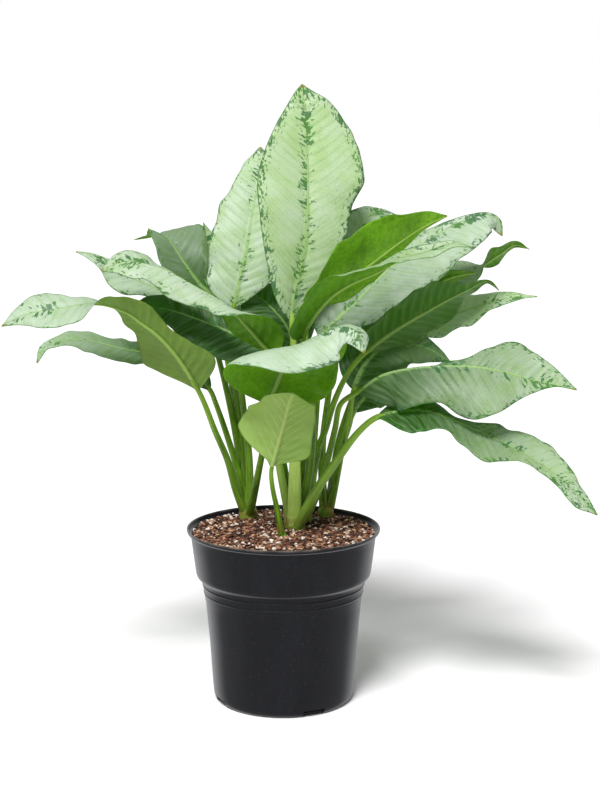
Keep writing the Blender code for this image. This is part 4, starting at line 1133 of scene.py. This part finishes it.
def make_litter(chip, perlite):
    """Chips, puffed grains and fibres on the soil."""
    draw = np.random.default_rng(LITTER_SEED)
    chips = [lump_shape(draw, (1.0, draw.uniform(0.25, 0.7), draw.uniform(0.2, 0.35)), 0.3)
             for _ in range(LUMP_SHAPES)]
    strewn("coir_chips", chips, draw, chip)
    grains = [lump_shape(draw, (1.0, draw.uniform(0.6, 0.9), 0.55), 0.32) for _ in range(LUMP_SHAPES)]
    strewn("perlite_grains", grains, draw, perlite)
    strewn("coir_fibres", [strand_shape(draw) for _ in range(STRAND_SHAPES)], draw, chip)


# Shoots

def stalk_frame(leaf):
    """Points along a stalk and on under its blade, with radius, share of the stalk and metres run."""
    line, heel = leaf_line(leaf)
    stalk_line = line[:heel + 1]
    length = np.linalg.norm(np.diff(stalk_line, axis=0), axis=1).sum()
    f = np.linspace(0, 1, STALK_ROWS + 1)
    thick, thin = leaf.stalk_radius
    s = np.linspace(0, TAIL_SHARE, TAIL_ROWS + 1)[1:]
    under = blade_surface(leaf, s, np.array([-0.05, 0.0, 0.05]))
    down = -normals_of(under)[:, 1]
    tail_radius = thin * np.linspace(0.97, 0.42, len(s))
    sink = np.clip(s / 0.05, 0, 1)
    tail = under[:, 1] + down * (tail_radius * 0.9 * sink)[:, None]
    centre = np.vstack([points_along(stalk_line, f), tail])
    radius = np.concatenate([thin + (thick - thin) * (1 - f) ** 1.25, tail_radius])
    fraction = np.concatenate([f, 1 + s])
    run = np.concatenate([f * length, length + s * 0.2])
    return centre, radius, fraction, run


def make_stalk(name, leaf):
    """A stalk with an open channel along its upper side, widest where it sheathes the cane."""
    centre, radius, fraction, run = stalk_frame(leaf)
    stalk, row, column = sheet_of(name, len(centre) - 1, STALK_SIDES)
    along = unit(np.gradient(centre, axis=0))
    look = np.array(leaf.faces[0], float)
    up = unit(look - (look * along).sum(1, keepdims=True) * along)
    side = np.cross(along, up)
    angle = 2 * pi * column / STALK_SIDES
    from_top = np.abs(np.angle(np.exp(1j * angle)))
    f = fraction[row]
    sheath = np.clip(1 - f / SHEATH_SHARE, 0, 1) ** 0.7
    depth = (CHANNEL_DEPTH + SHEATH_DEPTH * sheath) * (f < 1.01)
    lips = np.exp(-((from_top - LIP_ANGLE) / LIP_HALF) ** 2) * sheath
    r = radius[row] * (1 - depth * np.exp(-(from_top / CHANNEL_HALF) ** 2))
    r = r * (1 + SHEATH_FLARE * sheath * np.sin(angle) ** 2)
    turned = up[row] * (np.cos(angle) * r)[:, None] + side[row] * (np.sin(angle) * r)[:, None]
    put_points(stalk, centre[row] + turned)
    note(stalk, "run", run[row], np.cos(angle), f)
    # paleness, partly painted light; a seed for the streaks; and the sheath's lips
    note(stalk, "hue", PALE_AND_LIT_STALKS.get(name, 0.0), len(name) * 1.7 + run[-1] * 40, lips)
    bpy.ops.object.mode_set(mode="EDIT")
    bpy.ops.mesh.select_all(action="SELECT")
    bpy.ops.mesh.remove_doubles(threshold=0.000002)
    close_ends()
    return stalk


def make_cane(name, centre, radius, top):
    """The short cane in its old leaf sheaths, with a scar ring at each."""
    x, y = centre
    tall = top - CANE_BOTTOM
    bpy.ops.mesh.primitive_cylinder_add(
        vertices=CANE_SIDES, radius=radius, depth=tall, location=(x, y, (top + CANE_BOTTOM) / 2))
    cane = bpy.context.object
    cane.name = name
    bpy.ops.object.mode_set(mode="EDIT")
    for height in [top - 0.004] + [CANE_BOTTOM + tall * (k + 0.5) / CANE_ROWS for k in range(CANE_ROWS)]:
        bpy.ops.mesh.select_all(action="SELECT")
        bpy.ops.mesh.bisect(plane_co=(x, y, height), plane_no=(0, 0, 1))
    bpy.ops.object.mode_set(mode="OBJECT")
    bpy.ops.object.transform_apply(location=True, rotation=True, scale=True)
    co = points_of(cane)
    rise = (co[:, 2] - CANE_BOTTOM) / tall
    angle = np.arctan2(co[:, 1] - y, co[:, 0] - x)
    wrap = 1 + 0.05 * np.sin(3 * angle + 5 * rise) + 0.03 * np.sin(rise * 46)
    taper = 1 - CANE_NARROWS * np.clip((rise - CANE_SHOULDER) / (1 - CANE_SHOULDER), 0, None) ** 2
    co[:, :2] = centre + (co[:, :2] - centre) * (wrap * taper)[:, None]
    put_points(cane, co)
    note(cane, "run", np.clip(co[:, 2] - SOIL_TOP, 0, 1) * 0.4, np.cos(angle), 0)
    note(cane, "hue", 0.15, rise * 3, 0)
    return cane


def make_shoot(name, finish):
    """A cane with its stalks as one piece."""
    parts = [make_cane(name + "_stalks", *SHOOTS[name])]
    for leaf_name, leaf in LEAVES.items():
        if leaf.shoot == name:
            parts.append(make_stalk(leaf_name, leaf))
    select(*parts)
    bpy.ops.object.join()
    bpy.ops.object.shade_smooth_by_angle(angle=radians(55))
    finish_piece(parts[0], finish, "stalk", name)


# Blades

def ripple_along(draw, along):
    """A soft uneven ripple along a margin, from minus one to one."""
    total = np.zeros_like(along)
    for wavelength, share in RIPPLES:
        total += share * np.sin(2 * pi * along / wavelength + draw.uniform(0, 2 * pi))
    return total


def blade_relief(draw, tone, s, places, width, along):
    """How far a blade swells between its side veins and ripples at its margin."""
    reach = np.abs(places)
    body = np.clip(width / 0.03, 0, 1) * np.clip((s - 0.02) / 0.1, 0, 1)[:, None]
    veins = np.cos(2 * pi * vein_line(along, width * reach) / VEIN_SPACING)
    quilt = veins * np.clip(reach / 0.12, 0, 1) * (1 - reach ** 3) * body
    left, right = (ripple_along(draw, along[:, :1]) for _ in range(2))
    ripple = np.where(places > 0, right, left) * reach ** 3 * body
    return QUILT_HEIGHT * min(tone.ribbed, 1.5) * quilt + RIPPLE_HEIGHT * ripple


def blade_depths(s, out):
    """How deep the grooves beside the raised midrib are above, and how high the midrib stands below."""
    rest = 1 - s[:, None]
    groove = np.exp(-((out - GROOVE_PLACE) / GROOVE_HALF) ** 2) * rest
    groove = GROOVE_DEPTH * (groove - np.exp(-(out / GROOVE_HALF) ** 2) * rest ** 2)
    ridge_half = 0.0024 * rest ** 0.7 + 0.0006
    ridge = (0.0030 * rest ** 0.8 + 0.0003) * np.exp(-(out / ridge_half) ** 2)
    return groove, ridge


def make_blade(number, name, leaf, finish):
    """A blade with its ribs raised below, side veins, a gently rippled margin and a thin edge."""
    draw = np.random.default_rng(BLADE_SEED + number)
    tone = TONES.get(name, Tone())
    line, heel = leaf_line(leaf)
    length = np.linalg.norm(np.diff(line[heel:], axis=0), axis=1).sum()
    # Rows lie closer at the heel and the tip, and columns closer at the midrib
    even = np.linspace(0, 1, BLADE_ROWS + 1)
    s = even - 0.05 * np.sin(2 * pi * even)
    s = STALK_TO_BLADE / length + (1 - STALK_TO_BLADE / length) * s
    t = np.linspace(-1, 1, 2 * BLADE_COLUMNS + 1)
    places = np.sign(t) * np.abs(t) ** 1.5
    reach = np.abs(places)
    surface = blade_surface(leaf, s, places)
    width = np.where(places > 0, half_widths(leaf, s, 1)[:, None], half_widths(leaf, s, 0)[:, None])
    along = np.broadcast_to((s * length)[:, None], width.shape)
    lift = blade_relief(draw, tone, s, places, width, along)
    groove, ridge = blade_depths(s, width * reach)

    blade, row, column = sheet_of(name + "_blade", BLADE_ROWS, 2 * BLADE_COLUMNS)
    put_points(blade, surface[row, column])
    thick = blade.modifiers.new("thickness", "SOLIDIFY")
    thick.thickness = BLADE_THICKNESS
    thick.offset = 0
    apply_modifiers(blade)
    at = np.concatenate([row, row]), np.concatenate([column, column])
    middle = surface[at]
    up = normals_of(surface)[at]
    upper = ((points_of(blade) - middle) * up).sum(1) > 0
    half_thick = BLADE_THICKNESS / 2 * (1 - 0.5 * reach[at[1]] ** 2)
    level = np.where(upper, half_thick - groove[at], -half_thick - ridge[at])
    put_points(blade, middle + up * (lift[at] + level)[:, None])

    s_at = s[at[0]]
    to_edge = np.minimum((width * (1 - reach))[at], (1 - s_at) * length * 0.35)
    # how much painted shade lies towards the heel, where other leaves shade it
    heel_shade = np.clip((tone.spread - s_at) / (tone.spread * 0.8), 0, 1)
    note(blade, "lay", along[at], (width * places)[at], to_edge)
    note(blade, "part", s_at, tone.ribbed, upper)
    note(blade, "tone", tone.glow, tone.flecks, draw.uniform(0, 40))
    # depth: dark green and painted shade of the upper side, painted light and shade of the underside, and its
    # greyishness
    note(blade, "depth", np.clip(tone.deep + tone.heel * heel_shade ** 1.3, 0, 1), tone.below, tone.pale)
    bpy.ops.object.shade_smooth()
    finish_piece(blade, finish, "young_leaf" if name == "leaf_young_front" else "leaf", name)


# Camera, light and floor

def add_camera():
    """The photo's view: from the front, a little above the plant's middle and looking slightly down."""
    data = bpy.data.cameras.new("camera")
    data.lens = LENS_TO_SENSOR * SENSOR
    data.sensor_width = SENSOR
    camera = add_object("camera", data)
    camera.location = CAMERA_PLACE
    camera.rotation_euler = (radians(90 - CAMERA_DIP), 0, 0)
    bpy.context.scene.camera = camera


def add_sun():
    """A very soft sun that shines towards the origin, so that the whole floor is lit alike."""
    data = bpy.data.lights.new("key", "SUN")
    data.energy = SUN_POWER
    data.angle = SUN_SPREAD
    sun = add_object("key", data)
    sun.rotation_euler = (-Vector(SUN_PLACE)).to_track_quat("-Z", "Y").to_euler()


def add_world():
    """White surroundings, which light the plant less brightly than they show behind it."""
    world = bpy.data.worlds.new("studio")
    bpy.context.scene.world = world
    world.use_nodes = True
    tree = world.node_tree
    background = tree.nodes["Background"]
    background.inputs["Color"].default_value = (1, 1, 1, 1)
    seen = tree.nodes.new("ShaderNodeLightPath")
    strength = tree.nodes.new("ShaderNodeMapRange")
    strength.inputs["To Min"].default_value = WORLD_LIGHT
    strength.inputs["To Max"].default_value = 1.0
    tree.links.new(seen.outputs["Is Camera Ray"], strength.inputs["Value"])
    tree.links.new(strength.outputs["Result"], background.inputs["Strength"])


def add_floor(finish):
    """A plain pale floor just under the pot."""
    bpy.ops.mesh.primitive_plane_add(size=FLOOR_SIZE, location=(0, 0, FLOOR_HEIGHT))
    floor = bpy.context.object
    floor.name = "studio_floor"
    floor.data.materials.append(finish)


def main():
    bpy.context.scene.view_settings.view_transform = "Standard"
    add_camera()
    add_world()
    add_floor(floor_finish())
    add_sun()
    make_pot(plastic_finish())
    make_soil(soil_finish())
    make_litter(chip_finish(), perlite_finish())
    stalks = stalk_finish()
    for name in SHOOTS:
        make_shoot(name, stalks)
    variegated = leaf_finish()
    young = young_leaf_finish()
    for number, (name, leaf) in enumerate(LEAVES.items()):
        make_blade(number, name, leaf, young if name == "leaf_young_front" else variegated)


main()
